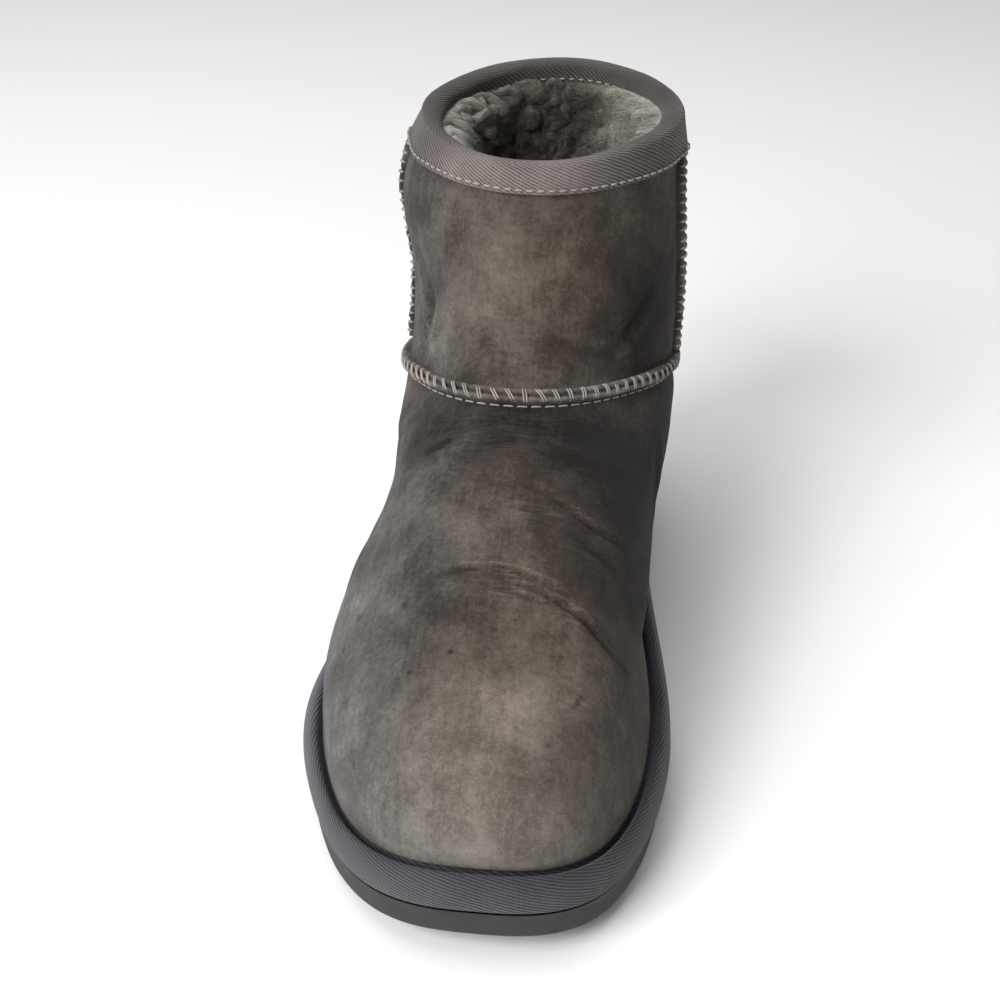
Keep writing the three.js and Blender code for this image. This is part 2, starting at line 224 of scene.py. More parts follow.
def noise(points, size, seed):
    """Smooth random values from -1 to 1, which change over about that size."""
    lattice = np.random.default_rng(seed).uniform(-1, 1, (NOISE_CELLS,) * 3)
    place = points / size + 500.5
    cell = np.floor(place).astype(int)
    f = place - cell
    f = f * f * (3 - 2 * f)
    total = 0
    for dx, dy, dz in np.ndindex(2, 2, 2):
        weight = np.prod(np.where([dx, dy, dz], f, 1 - f), axis=-1)
        corner = (cell + [dx, dy, dz]) % NOISE_CELLS
        total = total + weight * lattice[corner[..., 0], corner[..., 1], corner[..., 2]]
    return total


WELD = 1e-6  # points this close, in metres, become one


def mesh_piece(name, grids, material, uvs=None, **shades):
    """One mesh from grids of points that are welded where they meet, with its UVs in millimetres and
    its shades, which are values painted on the points for the material to read."""
    points = np.concatenate([grid.reshape(-1, 3) for grid in grids]) - origin
    quads, start = [], 0
    for grid in grids:
        rows, columns = grid.shape[:2]
        index = start + np.arange(rows * columns).reshape(rows, columns)
        corners = [index[:-1, :-1], index[:-1, 1:], index[1:, 1:], index[1:, :-1]]
        quads.append(np.stack(corners, axis=-1).reshape(-1, 4))
        start += rows * columns
    quads = np.concatenate(quads)
    mesh = bpy.data.meshes.new(name)
    mesh.from_pydata((points * MM).tolist(), [], quads.tolist())
    for shade, values in shades.items():
        layer = mesh.attributes.new(shade, "FLOAT", "POINT")
        layer.data.foreach_set("value", np.concatenate([v.ravel() for v in values]).astype(np.float32))
    if uvs is not None:
        flat = np.concatenate([uv.reshape(-1, 2) for uv in uvs])
        layer = mesh.uv_layers.new(name="UVMap")
        layer.uv.foreach_set("vector", flat[quads.ravel()].astype(np.float32).ravel())
    work = bmesh.new()
    work.from_mesh(mesh)
    bmesh.ops.remove_doubles(work, verts=work.verts, dist=WELD)
    work.to_mesh(mesh)
    work.free()
    mesh.shade_smooth()
    mesh.materials.append(material)
    piece = bpy.data.objects.new(name, mesh)
    bpy.context.scene.collection.objects.link(piece)
    return piece


def dyed(red, green, blue):
    """A dye shade, given in the 0 to 255 steps of a shade card, as a shader colour."""
    share = np.array([red, green, blue]) / 255
    linear = np.where(share <= 0.04045, share / 12.92, ((share + 0.055) / 1.055) ** 2.4)
    return (*linear.tolist(), 1.0)


def wire(tree, kind, inputs=None, **settings):
    """A new shader node with its settings made and its inputs set, or linked where they are sockets."""
    made = tree.nodes.new("ShaderNode" + kind)
    for setting, value in settings.items():
        setattr(made, setting, value)
    for key, value in (inputs or {}).items():
        if isinstance(value, bpy.types.NodeSocket):
            tree.links.new(value, made.inputs[key])
        else:
            made.inputs[key].default_value = value
    return made


def maths(tree, operation, *values):
    return wire(tree, "Math", dict(enumerate(values)), operation=operation).outputs[0]


def plus(tree, first, second):
    return maths(tree, "ADD", first, second)


def minus(tree, first, second):
    return maths(tree, "SUBTRACT", first, second)


def times(tree, first, second):
    return maths(tree, "MULTIPLY", first, second)


def blended(tree, share, low, high, how="MIX"):
    """A colour between two others, or mixed from them in another way."""
    mix = wire(tree, "Mix", {0: share, 6: low, 7: high}, data_type="RGBA", blend_type=how)
    return mix.outputs[2]


def painted(tree, shade):
    """The value of a shade that is painted on the points of a mesh."""
    return wire(tree, "Attribute", attribute_name=shade).outputs["Fac"]


def place(tree):
    return wire(tree, "TexCoord").outputs["Object"]


def grains(tree, size, where, detail=3.0, coarse=0.55):
    """Random grain of about that size in millimetres, from 0 to 1."""
    inputs = {"Vector": where, "Scale": 1 / (size * MM), "Detail": detail, "Roughness": coarse}
    return wire(tree, "TexNoise", inputs).outputs["Fac"]


def effect(name, inputs, outputs):
    """An empty node group with number inputs and outputs, for an effect that several materials share."""
    group = bpy.data.node_groups.new(name, "ShaderNodeTree")
    for label, value in inputs.items():
        group.interface.new_socket(label, in_out="INPUT", socket_type="NodeSocketFloat").default_value = value
    for label in outputs:
        group.interface.new_socket(label, in_out="OUTPUT", socket_type="NodeSocketFloat")
    return group, group.nodes.new("NodeGroupInput"), group.nodes.new("NodeGroupOutput")


def use_effect(tree, group, inputs):
    return wire(tree, "Group", inputs, node_tree=group).outputs


def shade_ramp(tree, tone, deep, between, pale):
    """The colour at a tone from 0, deep, to 1, pale, by way of (tone, colour) pairs between them."""
    ramp = wire(tree, "ValToRGB", {"Fac": tone})
    steps = ramp.color_ramp.elements
    steps[0].color, steps[1].color = deep, pale
    for at, colour in between:
        steps.new(at).color = colour
    return ramp.outputs["Color"]


def new_material(name, **constants):
    """A material with its Principled shader, and its tree. The constants are set on the shader."""
    material = bpy.data.materials.new(name)
    material.use_nodes = True
    shader = material.node_tree.nodes["Principled BSDF"]
    for key, value in constants.items():
        shader.inputs[key.replace("_", " ")].default_value = value
    return material, material.node_tree, shader


def bump_by(tree, shader, height, strength, depth):
    """Bumps a shader by a height, with the depth of a full step of it in millimetres."""
    bump = wire(tree, "Bump", {"Height": height, "Strength": strength, "Distance": depth * MM})
    tree.links.new(bump.outputs["Normal"], shader.inputs["Normal"])


def napped_suede():
    """Group: the cloudy tone of dyed suede, its streaks where the nap is brushed, and its height."""
    group, given, made = effect("napped_suede", {"Clouds": 1, "Streaks": 1}, ["Tone", "Nap"])
    where = place(group)
    clouds = grains(group, 34, where, 4, 0.6)
    blotches = grains(group, 11, where, 5, 0.6)
    specks = grains(group, 1.6, where, 3)
    brushed = wire(group, "Mapping", {"Vector": where, "Scale": (1, 0.16, 0.16)}).outputs[0]
    streaks = grains(group, 1.5, brushed, 4, 0.6)
    fibres = grains(group, 0.55, where, 3, 0.7)
    soft = plus(group, times(group, clouds, 1.3), times(group, blotches, 0.9))
    soft = times(group, minus(group, soft, 1.1), given.outputs["Clouds"])
    lines = times(group, minus(group, streaks, 0.5), given.outputs["Streaks"])
    fine = times(group, minus(group, specks, 0.5), 0.5)
    fine = plus(group, fine, times(group, minus(group, fibres, 0.5), 0.75))
    tone = plus(group, plus(group, soft, lines), fine)
    group.links.new(tone, made.inputs["Tone"])
    nap = plus(group, times(group, fibres, 0.6), times(group, streaks, 0.5))
    nap = plus(group, nap, times(group, specks, 0.5))
    group.links.new(nap, made.inputs["Nap"])
    return group


suede_effect = napped_suede()
# Over the outer side the slate tint is partly painted light, and over the inner side the brown is partly
# painted shade.
SLATE, BROWN = (0.88, 1.0, 1.17, 1), (1.06, 0.99, 0.87, 1)  # what cool and warm areas do to a dye
STAIN = dyed(26, 21, 19)


def suede(name, deep, dark, mid, pale, clouds=1.0, streaks=0.4):
    """Worn suede in four dye shades. Painted shades: wear pales it, or darkens it where it is negative,
    and besides wear it carries painted shadow and painted highlight; warmth turns it from slate to brown,
    partly as a painted tint of light and shade; stain is where it is marked dark; and crease is where
    fine wrinkles cross it, with painted shade in their lines."""
    material, tree, shader = new_material(
        name, Roughness=0.95, Specular_IOR_Level=0.12, Sheen_Weight=0.07, Sheen_Roughness=0.6
    )
    nap = use_effect(tree, suede_effect, {"Clouds": clouds, "Streaks": streaks})
    # The painted wear pales the tone, or darkens it where negative: wear, painted shadow and painted
    # highlight.
    tone = plus(tree, times(tree, nap["Tone"], 0.62), painted(tree, "wear"))
    # Fine wrinkles where the crease is painted: bumped, and darkened along their lines as painted shade.
    crossing = wire(tree, "Mapping", {"Vector": place(tree), "Scale": (0.1, 1, 1)}).outputs[0]
    wrinkles = maths(tree, "ABSOLUTE", minus(tree, grains(tree, 2.4, crossing, 2), 0.5))
    wrinkles = maths(tree, "MINIMUM", times(tree, wrinkles, 9), 1)
    wrinkles = times(tree, minus(tree, wrinkles, 0.7), painted(tree, "crease"))
    tone = plus(tree, tone, times(tree, wrinkles, 0.2))
    tone = plus(tree, tone, 0.46)
    dye = shade_ramp(tree, tone, deep, [(0.33, dark), (0.62, mid)], pale)
    tint = times(tree, grains(tree, 26, place(tree), 3), 0.6)
    tint = plus(tree, plus(tree, tint, 0.14), painted(tree, "warmth"))
    slate = blended(tree, 1.0, dye, SLATE, "MULTIPLY")
    brown = blended(tree, 1.0, dye, BROWN, "MULTIPLY")
    colour = blended(tree, tint, slate, brown)
    ragged = times(tree, minus(tree, grains(tree, 1.5, place(tree), 3), 0.5), 0.9)
    marked = plus(tree, painted(tree, "stain"), times(tree, ragged, painted(tree, "stain")))
    spread = {"Value": marked, "From Min": 0.1, "From Max": 0.55, "To Min": 0, "To Max": 0.88}
    marked = wire(tree, "MapRange", spread, interpolation_type="SMOOTHSTEP").outputs[0]
    colour = blended(tree, marked, colour, STAIN)
    tree.links.new(colour, shader.inputs["Base Color"])
    height = plus(tree, nap["Nap"], times(tree, wrinkles, 1.1))
    bump_by(tree, shader, height, 0.7, 0.4)
    return material


foot_suede = suede("foot_suede", dyed(24, 20, 18), dyed(58, 51, 46), dyed(95, 87, 79), dyed(140, 131, 121))

# A fold is a soft trough with a ridge on its ankle side, along points (x, distance along, height).
Fold = namedtuple("Fold", "path width depth ridge")
FOLDS = [
    Fold([(-15, 200, 72), (-6, 198.5, 73), (4, 198, 74), (14, 200, 73), (24, 203, 69)], 1.2, 1.5, 1.3),
    Fold([(0, 201, 73), (14, 203, 72), (25, 206, 68), (33, 209, 62), (41, 212, 51)], 1.1, 1.4, 0.8),
    Fold([(-2, 202.5, 73), (8, 205, 73), (18, 207, 70)], 0.9, 0.7, 0.5),
    Fold([(6, 167, 83), (14, 170, 82), (21, 173, 79), (28, 175, 75), (38, 173, 66)], 1.1, 1.2, 0.9),
    Fold([(3, 176, 81), (14, 177, 80), (24, 178, 76)], 1.0, 0.45, 0.3),
    Fold([(18, 180, 77), (28, 183, 72), (36, 184, 65)], 1.0, 0.45, 0.3),
    Fold([(24, 237, 57), (30, 227, 57)], 1.1, 0.45, 0.25),
    Fold([(-27, 143, 82), (-8, 145, 89), (10, 145, 89), (26, 143, 82)], 1.7, 0.3, 0.25),
    Fold([(-20, 151, 82), (-4, 152, 87), (16, 151, 84)], 1.5, 0.25, 0.2),
    Fold([(-42, 160, 58), (-40, 170, 50), (-42, 180, 42)], 2.4, 0.7, 0.5),
    Fold([(-38, 120, 78), (-42, 128, 68), (-43, 132, 58)], 3.0, 0.8, 0.6),
    Fold([(42, 122, 78), (45, 132, 66), (45, 138, 54)], 3.0, 0.8, 0.6),
]


def nearest_point(points, x, along, z):
    """The point of a surface that is nearest to a place, as (x, distance along, height)."""
    flat = points.reshape(-1, 3)
    near = flat[np.argmin(np.sum((flat - (x, SOLE_LENGTH / 2 - along, z)) ** 2, axis=1))]
    return near[0], SOLE_LENGTH / 2 - near[1], near[2]


def laid_on(points, folds):
    """Folds with their paths moved onto a surface."""
    return [fold._replace(path=[nearest_point(points, *place) for place in fold.path]) for fold in folds]


def spots_on(points, spots):
    """Spots with their middles moved onto a surface."""
    return [(*nearest_point(points, *spot[:3]), *spot[3:]) for spot in spots]


def beside_fold(points, fold):
    """How far points are aside of a fold, towards the heel, and how far along it, from 0 to 1."""
    path = np.array([(x, SOLE_LENGTH / 2 - along, z) for x, along, z in fold.path], float)
    run = lengths(path)
    nearest = np.full(points.shape[:-1], np.inf)
    aside, share = np.zeros_like(nearest), np.zeros_like(nearest)
    for i in range(len(path) - 1):
        step = path[i + 1] - path[i]
        t = np.clip(((points - path[i]) @ step) / (step @ step), 0, 1)
        away = points - (path[i] + t[..., None] * step)
        distance = np.linalg.norm(away, axis=-1)
        closer = distance < nearest
        nearest = np.where(closer, distance, nearest)
        aside = np.where(closer, distance * np.sign(away[..., 1]), aside)
        share = np.where(closer, (run[i] + t * (run[i + 1] - run[i])) / run[-1], share)
    return aside, share


def fold_height(points, fold):
    aside, share = beside_fold(points, fold)
    trough = fold.depth * np.exp(-((aside / fold.width) ** 2))
    ridge = fold.ridge * np.exp(-(((aside - 1.5 * fold.width) / fold.width) ** 2))
    return np.sin(np.pi * share) ** 0.7 * (ridge - trough)


def fold_wear(points, folds):
    """Painted shade in the troughs of the folds and a painted highlight on their ridges, along with dirt in
    the troughs and rubbing on the ridges.
    """
    return 0.17 * sum(fold_height(points, fold) for fold in folds)


def fold_creases(points, folds):
    """Where fine wrinkles run: beside the folds and just under the ankle seam."""
    total = 0.26 * smooth(32, 6, np.abs(along_of(points) - 148)) * smooth(68, 84, points[..., 2])
    for fold in folds:
        aside, share = beside_fold(points, fold)
        total = np.maximum(total, 0.8 * np.sin(np.pi * share) * np.exp(-((aside / 4.5) ** 2)))
    return total


def patches(points, spots):
    """Soft round areas, each given as (x, distance along, height, radius, amount)."""
    total = np.zeros(points.shape[:-1])
    for x, along, z, radius, amount in spots:
        away = points - (x, SOLE_LENGTH / 2 - along, z)
        total += amount * np.exp(-np.sum(away**2, axis=-1) / radius**2)
    return total


# Paler where positive, darker where negative. The dark patches over the inner side are painted shadow,
# the two just under the ankle seam are partly painted shade, and the others are wear.
FOOT_WEAR = [
    (2, 243, 58, 26, 0.11),
    (-36, 240, 45, 20, 0.16),
    (-22, 258, 36, 18, 0.04),
    (28, 250, 42, 18, 0.08),
    (0, 262, 30, 20, 0.26),
    (14, 238, 60, 12, 0.08),
    (2, 185, 80, 16, 0.10),
    (22, 190, 74, 12, 0.03),
    (-30, 178, 70, 12, -0.06),
    (-38, 190, 55, 22, 0.10),
    (-42, 140, 62, 16, 0.04),
    (0, 141, 92, 12, -0.29),
    (-23, 143, 86, 12, -0.3),
    (24, 146, 86, 17, -0.42),
    (40, 178, 62, 28, -0.32),
    (46, 210, 45, 22, -0.17),
    (-12, 208, 72, 9, -0.10),
    (-30, 205, 60, 12, 0.08),
    (4, 216, 70, 9, -0.06),
    (48, 118, 60, 36, -0.44),
    (44, 152, 76, 22, -0.26),
    (-44, 120, 70, 14, -0.12),
    (-10, 168, 83, 9, -0.08),
    (-26, 232, 58, 9, -0.10),
]
# Tint towards brown, or slate where negative: the slate over the outer side and the brown over the inner side
# are partly painted light and shade; the rest is the suede's own tint.
FOOT_WARMTH = [
    (-40, 190, 50, 40, -0.4),
    (-38, 245, 40, 30, -0.4),
    (-24, 146, 84, 22, -0.3),
    (36, 190, 60, 40, 0.45),
    (10, 235, 62, 30, 0.3),
    (0, 160, 84, 24, 0.2),
]
FOOT_STAINS = [
    (14, 156, 86, 1.6, 0.6),
    (13, 181, 79, 4.5, 0.26),
    (-34, 201, 56, 2.2, 0.4),
    (-6, 225, 66, 1.1, 0.55),
    (-16, 229, 61, 1.1, 0.5),
    (1, 226, 67, 2.4, 0.25),
    (22, 222, 63, 1.2, 0.45),
    (10, 214, 70, 1.1, 0.4),
    (-18, 206, 70, 3.0, 0.3),
    (-22, 207, 68, 2.0, 0.36),
    (-12, 207, 72, 1.8, 0.32),
    (-26, 185, 74, 3.4, 0.22),
    (-22, 151, 82, 2.0, 0.8),
    (-19, 150, 83, 1.8, 0.8),
    (-16, 149, 84, 1.5, 0.7),
    (-36, 228, 50, 2.2, 0.3),
    (-30, 247, 45, 1.2, 0.4),
    (20, 246, 54, 1.1, 0.4),
]

FOOT_ROWS, HIDE_ROWS = 230, 9  # on the suede side and on the side of the hide that the wool hides
foot_levels = even_levels(0, ANKLE, FOOT_ROWS)
foot_out = np.stack([skin_normal(level) for level in foot_levels])
foot_skin = skin_rows(foot_levels)
foot_height = 0.5 * noise(foot_skin, 30, 1) + 0.2 * noise(foot_skin, 9, 2)
foot_folds = laid_on(foot_skin, FOLDS)
foot_height = foot_height + sum(fold_height(foot_skin, fold) for fold in foot_folds)
wrinkled = smooth(30, 4, np.abs(along_of(foot_skin) - 150)) * smooth(70, 84, foot_skin[..., 2])
foot_height = foot_height + 0.35 * wrinkled * noise(foot_skin * [0.25, 1, 1], 4, 3)
settled = smooth(0, 0.25, foot_levels)[:, None] * smooth(ANKLE, ANKLE - 0.2, foot_levels)[:, None]
foot_outside = foot_skin + foot_out * (foot_height * settled)[..., None]
hide_levels = even_levels(0, ANKLE, HIDE_ROWS)[::-1]
foot_inside = skin_rows(hide_levels, -HIDE)
foot_grid = closed(np.concatenate([foot_outside, foot_inside, foot_outside[:1]]))

upper_suede = mesh_piece(
    "upper_suede",
    [foot_grid],
    foot_suede,
    wear=[patches(foot_grid, FOOT_WEAR) + fold_wear(foot_grid, foot_folds)],
    warmth=[patches(foot_grid, FOOT_WARMTH)],
    stain=[patches(foot_grid, spots_on(foot_outside, FOOT_STAINS))],
    crease=[fold_creases(foot_grid, foot_folds)],
)
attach(upper_suede, "root")
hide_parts("upper")

# ---------------------------------------------------------------------------------------------------
# Wool lining of the foot: the shorn wool of the same skin, turned inwards. It is one soft lumpy
# surface here, because little more than its heel and instep can be seen down the shaft.

HAIR_LENGTH, HAIR_SPACING = 6, 0.5  # of the streaks in the wool's colour


def woolly(name, deep, mid, pale):
    """Shorn wool in three shades. Painted shades: depth darkens it with painted shade, and bleach pales it,
    or darkens it where negative, both as painted light and shade and as the wool's own bleaching. The UVs
    run along the hair and across it, in millimetres."""
    material, tree, shader = new_material(
        name, Roughness=1.0, Specular_IOR_Level=0.05, Sheen_Weight=0.3, Sheen_Roughness=0.5
    )
    where = place(tree)
    curls = wire(tree, "TexVoronoi", {"Vector": where, "Scale": 1 / (2.6 * MM)}, feature="SMOOTH_F1")
    fibres = grains(tree, 0.6, where, 4, 0.7)
    clumps = grains(tree, 6, where, 4, 0.6)
    uv = wire(tree, "TexCoord").outputs["UV"]
    hair = wire(tree, "Mapping", {"Vector": uv, "Scale": (1 / HAIR_LENGTH, 1 / HAIR_SPACING, 1)})
    streaks = wire(tree, "TexNoise", {"Vector": hair.outputs[0], "Scale": 1, "Detail": 4, "Roughness": 0.65})
    tone = plus(tree, times(tree, clumps, 0.6), times(tree, fibres, 0.4))
    tone = plus(tree, tone, times(tree, streaks.outputs["Fac"], 0.7))
    tone = minus(tree, tone, times(tree, curls.outputs["Distance"], 0.25))
    tone = plus(tree, tone, minus(tree, painted(tree, "bleach"), painted(tree, "depth")))
    tree.links.new(shade_ramp(tree, tone, deep, [(0.5, mid)], pale), shader.inputs["Base Color"])
    height = plus(tree, times(tree, fibres, 0.6), streaks.outputs["Fac"])
    bump_by(tree, shader, height, 0.9, 0.9)
    return material


wool = woolly("wool", dyed(46, 39, 33), dyed(108, 101, 90), dyed(198, 196, 186))


def wool_height(points, deep):
    """Height of the wool's lumps: soft curls of two sizes."""
    curls = np.abs(noise(points, 5.5, 11)) * 1.4 + np.abs(noise(points, 2.6, 12)) * 0.7
    return deep * (curls - 0.5) + 0.8 * noise(points, 14, 13)


def hair_uv(grid):
    """UVs of a grid whose hair runs along its columns."""
    across_hair, along_hair = lengths(grid[len(grid) // 2]), lengths(grid[:, grid.shape[1] // 2])
    return np.stack(np.broadcast_arrays(along_hair[:, None], across_hair[None, :]), axis=-1)


LINING_ROWS = 48
lining_levels = even_levels(0.05, ANKLE, LINING_ROWS)
lining_skin = skin_rows(lining_levels, -WALL + 1)
lining_out = np.stack([skin_normal(level) for level in lining_levels])
lining_face = lining_skin - lining_out * wool_height(lining_skin, 1.6)[..., None]
foot_lining_grid = closed(lining_face)[:, ::-1]
# Painted shade: the lining is darker deeper down in the foot.
lining_depth = 0.12 + 0.5 * smooth(95, 40, foot_lining_grid[..., 2])

upper_wool = mesh_piece(
    "upper_wool",
    [foot_lining_grid],
    wool,
    [hair_uv(foot_lining_grid)],
    depth=[lining_depth],
    bleach=[0 * lining_depth],
)
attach(upper_wool, "root")

# ---------------------------------------------------------------------------------------------------
# Shaft: two sheepskin panels, front and back, sewn up both sides into a tube, suede side out. It
# stands straight over the heel, and its front is smoother and paler than its sides; its inner side is
# darkened with painted shadow.

shaft_dyes = (dyed(24, 20, 18), dyed(60, 53, 48), dyed(95, 88, 81), dyed(134, 127, 119))
shaft_suede_material = suede("shaft_suede", *shaft_dyes)
# The dark patches over the inner side are painted shadow, and the pale one low on the outer side is a
# painted highlight on a soft fold; the others are wear.
SHAFT_WEAR = [
    (0, 118, 118, 18, 0.08),
    (-36, 92, 138, 18, -0.12),
    (-40, 70, 120, 34, -0.03),
    (20, 116, 112, 14, -0.10),
    (36, 95, 112, 26, -0.28),
    (36, 104, 100, 16, -0.24),
    (42, 60, 115, 34, -0.24),
    (-6, 108, 146, 14, -0.06),
    (-30, 104, 140, 13, -0.12),
    (0, 124, 99, 8, -0.08),
    (-28, 116, 103, 9, 0.2),
    (0, 15, 110, 40, -0.04),
]
# Tint patches: the slate over the outer side and the brown over the inner side are partly painted light and
# shade.
SHAFT_WARMTH = [(-40, 90, 120, 40, -0.2), (36, 100, 120, 36, 0.4), (0, 118, 125, 30, 0.3)]
SHAFT_STAINS = [
    (22, 114, 134, 3.0, 0.28),
    (12, 118, 124, 3.0, 0.2),
    (-18, 118, 112, 4.4, 0.22),
    (30, 104, 128, 4.0, 0.26),
    (-6, 124, 103, 3.4, 0.2),
    (26, 112, 112, 5.0, 0.24),
    (-24, 106, 142, 5.0, 0.22),
    (4, 112, 142, 3.0, 0.2),
    (30, 106, 101, 5.0, 0.26),
    (18, 116, 106, 3.4, 0.25),
]
SHAFT_CREASES = [(-34, 108, 100, 12, 0.8), (34, 106, 102, 14, 0.8), (0, 122, 98, 14, 0.5)]
SHAFT_FOLDS = [
    Fold([(-41, 92, 122), (-35, 106, 110), (-37, 108, 98)], 2.4, 1.3, 1.0),
    Fold([(-27, 112, 112), (-31, 114, 103), (-28, 120, 95)], 2.0, 0.9, 0.7),
    Fold([(39, 90, 114), (33, 106, 104), (27, 117, 96)], 2.4, 1.2, 0.9),
    Fold([(8, 119, 105), (20, 117, 100), (30, 112, 97)], 1.8, 0.7, 0.5),
]
SHAFT_ROWS, SHAFT_HIDE_ROWS = 104, 16
PRESSED_WALL = 3.8  # the skin under the tape, with its wool pressed flat
TAPE_DEPTH = 11  # how far the tape reaches down at the back and the sides
TAPE_FRONT_DEPTH = 8

column_turn = np.arange(ROUND) / ROUND * 2 * np.pi
at_front = (1 - np.cos(column_turn)) / 2
tape_depth = TAPE_DEPTH - (TAPE_DEPTH - TAPE_FRONT_DEPTH) * smooth(0.5, 1, at_front)
under_tape = level_after(COLLAR, 3 - tape_depth)
shaft_shares = np.linspace(0, 1, SHAFT_ROWS)[:, None]
shaft_levels = ANKLE + (under_tape - ANKLE) * shaft_shares
shaft_skin = skin_rows(shaft_levels)
shaft_out = np.stack([skin_normal(level) for level in shaft_levels])
shaft_height = 0.7 * noise(shaft_skin, 36, 21) + 0.2 * noise(shaft_skin, 11, 22)
shaft_folds = laid_on(shaft_skin, SHAFT_FOLDS)
shaft_height = shaft_height + sum(fold_height(shaft_skin, fold) for fold in shaft_folds)
shaft_height *= smooth(0, 0.08, shaft_shares) * smooth(1, 0.82, shaft_shares)
shaft_outside = shaft_skin + shaft_out * shaft_height[..., None]
hide_shares = np.linspace(1, 0, SHAFT_HIDE_ROWS)[:, None]
shaft_inside = skin_rows(ANKLE + (under_tape - ANKLE) * hide_shares, -HIDE)
shaft_grid = closed(np.concatenate([shaft_outside, shaft_inside, shaft_outside[:1]]))

shaft_suede = mesh_piece(
    "shaft_suede",
    [shaft_grid],
    shaft_suede_material,
    wear=[patches(shaft_grid, SHAFT_WEAR) + 0.7 * fold_wear(shaft_grid, shaft_folds)],
    warmth=[patches(shaft_grid, SHAFT_WARMTH)],
    stain=[patches(shaft_grid, spots_on(shaft_outside, SHAFT_STAINS))],
    crease=[patches(shaft_grid, SHAFT_CREASES)],
)
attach(shaft_suede, "root")
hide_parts("shaft")

# ---------------------------------------------------------------------------------------------------
# Wool of the shaft: the lumpy base of the fleece, with curled locks lying on it, fine hairs along the
# locks and loose fibres standing off the base. It swells over the inner edge of the tape, more at the
# sides than at the back.

WOOL_ROWS = 88
OUTER_FRONT, OUTER_FRONT_REACH = 138, 26  # the columns where the wool swells most
at_sides = np.sin(column_turn) ** 2
wool_top = 4.6 - 3.0 * at_sides - 3.4 * at_front**3  # how far below the collar the wool starts
top_levels = level_after(COLLAR, -wool_top)
wool_shares = np.linspace(0, 1, WOOL_ROWS)[:, None]
wool_levels = ANKLE - 0.15 + (top_levels - ANKLE + 0.15) * wool_shares
wool_skin = skin_rows(wool_levels)
wool_out = np.stack([skin_normal(level) for level in wool_levels])
tucked = smooth(0.95, 1.0, wool_shares) ** 2
outer_front = np.exp(-(((np.arange(ROUND) - OUTER_FRONT) / OUTER_FRONT_REACH) ** 2))
wool_swell = smooth(0.35, 0.8, wool_shares) * (1 + 3.2 * at_sides**2 + 1.8 * outer_front)
wool_inward = WALL + 0.5 + wool_height(wool_skin, 2.6) * (1 - tucked) + wool_swell
wool_inward = wool_inward * (1 - tucked) + (PRESSED_WALL + 0.8) * tucked
wool_face = wool_skin - wool_out * wool_inward[..., None]
shaft_lining_grid = closed(wool_face)[:, ::-1]


def wool_shades(grids):
    """Depth and bleach of the wool, painted light and shade: darker down the shaft and at the back, where
    shade falls, paler high up on the outer side and darker there on the inner side, and paler on the outer
    side towards the front, where the wool lies in shade.
    """
    x, along, z = grids[..., 0], along_of(grids), grids[..., 2]
    depth = 0.38 * smooth(144, 88, z) + 0.56 * smooth(68, 20, along) * smooth(26, 8, x)
    bleach = (-0.1 * smooth(6, 26, x) + 0.12 * smooth(-4, -24, x)) * smooth(88, 138, z)
    bleach = bleach + 0.5 * smooth(-10, -26, x) * smooth(56, 84, along)
    return depth, bleach


wool_depth, wool_bleach = wool_shades(shaft_lining_grid)
shaft_wool = mesh_piece(
    "shaft_wool",
    [shaft_lining_grid],
    wool,
    [hair_uv(shaft_lining_grid)],
    depth=[wool_depth],
    bleach=[wool_bleach],
)
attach(shaft_wool, "root")


def tubes(paths, radii, up, sides=8):
    """Round tubes along paths (tube, point, xyz), with up beside them, as grids to weld. A radius of 0
    at an end closes it."""
    along = unit(np.gradient(paths, axis=1))
    aside = unit(np.cross(along, up))
    over = np.cross(aside, along)
    turn = np.linspace(0, 2 * np.pi, sides + 1)[:, None]
    circle = np.cos(turn) * aside[:, :, None] - np.sin(turn) * over[:, :, None]
    return paths[:, :, None] + radii[:, :, None, None] * circle


def on_wool(row, column):
    """The wool's face, the way inwards, and the ways round and up, at rows and columns of the shaft,
    which can lie between two of them. Past the last row but one the way up is not a number."""
    row = np.clip(row, 0, WOOL_ROWS - 1.001)
    up, right = (row % 1)[..., None], (column % 1)[..., None]

    def value(field, turn=0, rise=0):
        r = np.minimum(row.astype(int) + rise, WOOL_ROWS - 2)
        c = np.floor(column).astype(int) + turn
        near = field[r, c % ROUND] * (1 - right) + field[r, (c + 1) % ROUND] * right
        far = field[r + 1, c % ROUND] * (1 - right) + field[r + 1, (c + 1) % ROUND] * right
        return near * (1 - up) + far * up

    face = value(wool_face)
    beside, above = value(wool_face, turn=1), value(wool_face, rise=1)
    return face, -value(wool_out), unit(beside - face), unit(above - face)


ROW_STEP, COLUMN_STEP = 1.05, 0.73  # how far apart the rows and the columns of the wool are
LOCK_PLACES, LOCK_POINTS, LOCK_SIDES = 900, 9, 7
draw = np.random.default_rng(31)
lock_row = draw.uniform(0.06, 0.985, LOCK_PLACES) ** 0.5 * (WOOL_ROWS - 1)
lock_column = draw.uniform(0, ROUND, LOCK_PLACES)
on_inner = smooth(-8, 16, wool_face[lock_row.astype(int), lock_column.astype(int), 0])
kept = on_inner < draw.uniform(0.1, 0.8, LOCK_PLACES)  # the inner side has more loose fluff than locks
lock_row, lock_column = lock_row[kept], lock_column[kept]
LOCKS = len(lock_row)
heading = draw.normal(0.3, 0.3, LOCKS)
lock_length = draw.uniform(14, 26, LOCKS)
lock_girth = draw.uniform(1.4, 2.6, LOCKS)
lock_lift = draw.uniform(1.6, 2.8, LOCKS)
lock_share = np.linspace(-0.5, 0.5, LOCK_POINTS)
bow = np.cos(np.pi * lock_share)
sway = np.sin(2 * np.pi * lock_share * draw.uniform(0.6, 1.3, (LOCKS, 1)) + draw.uniform(0, 6, (LOCKS, 1)))
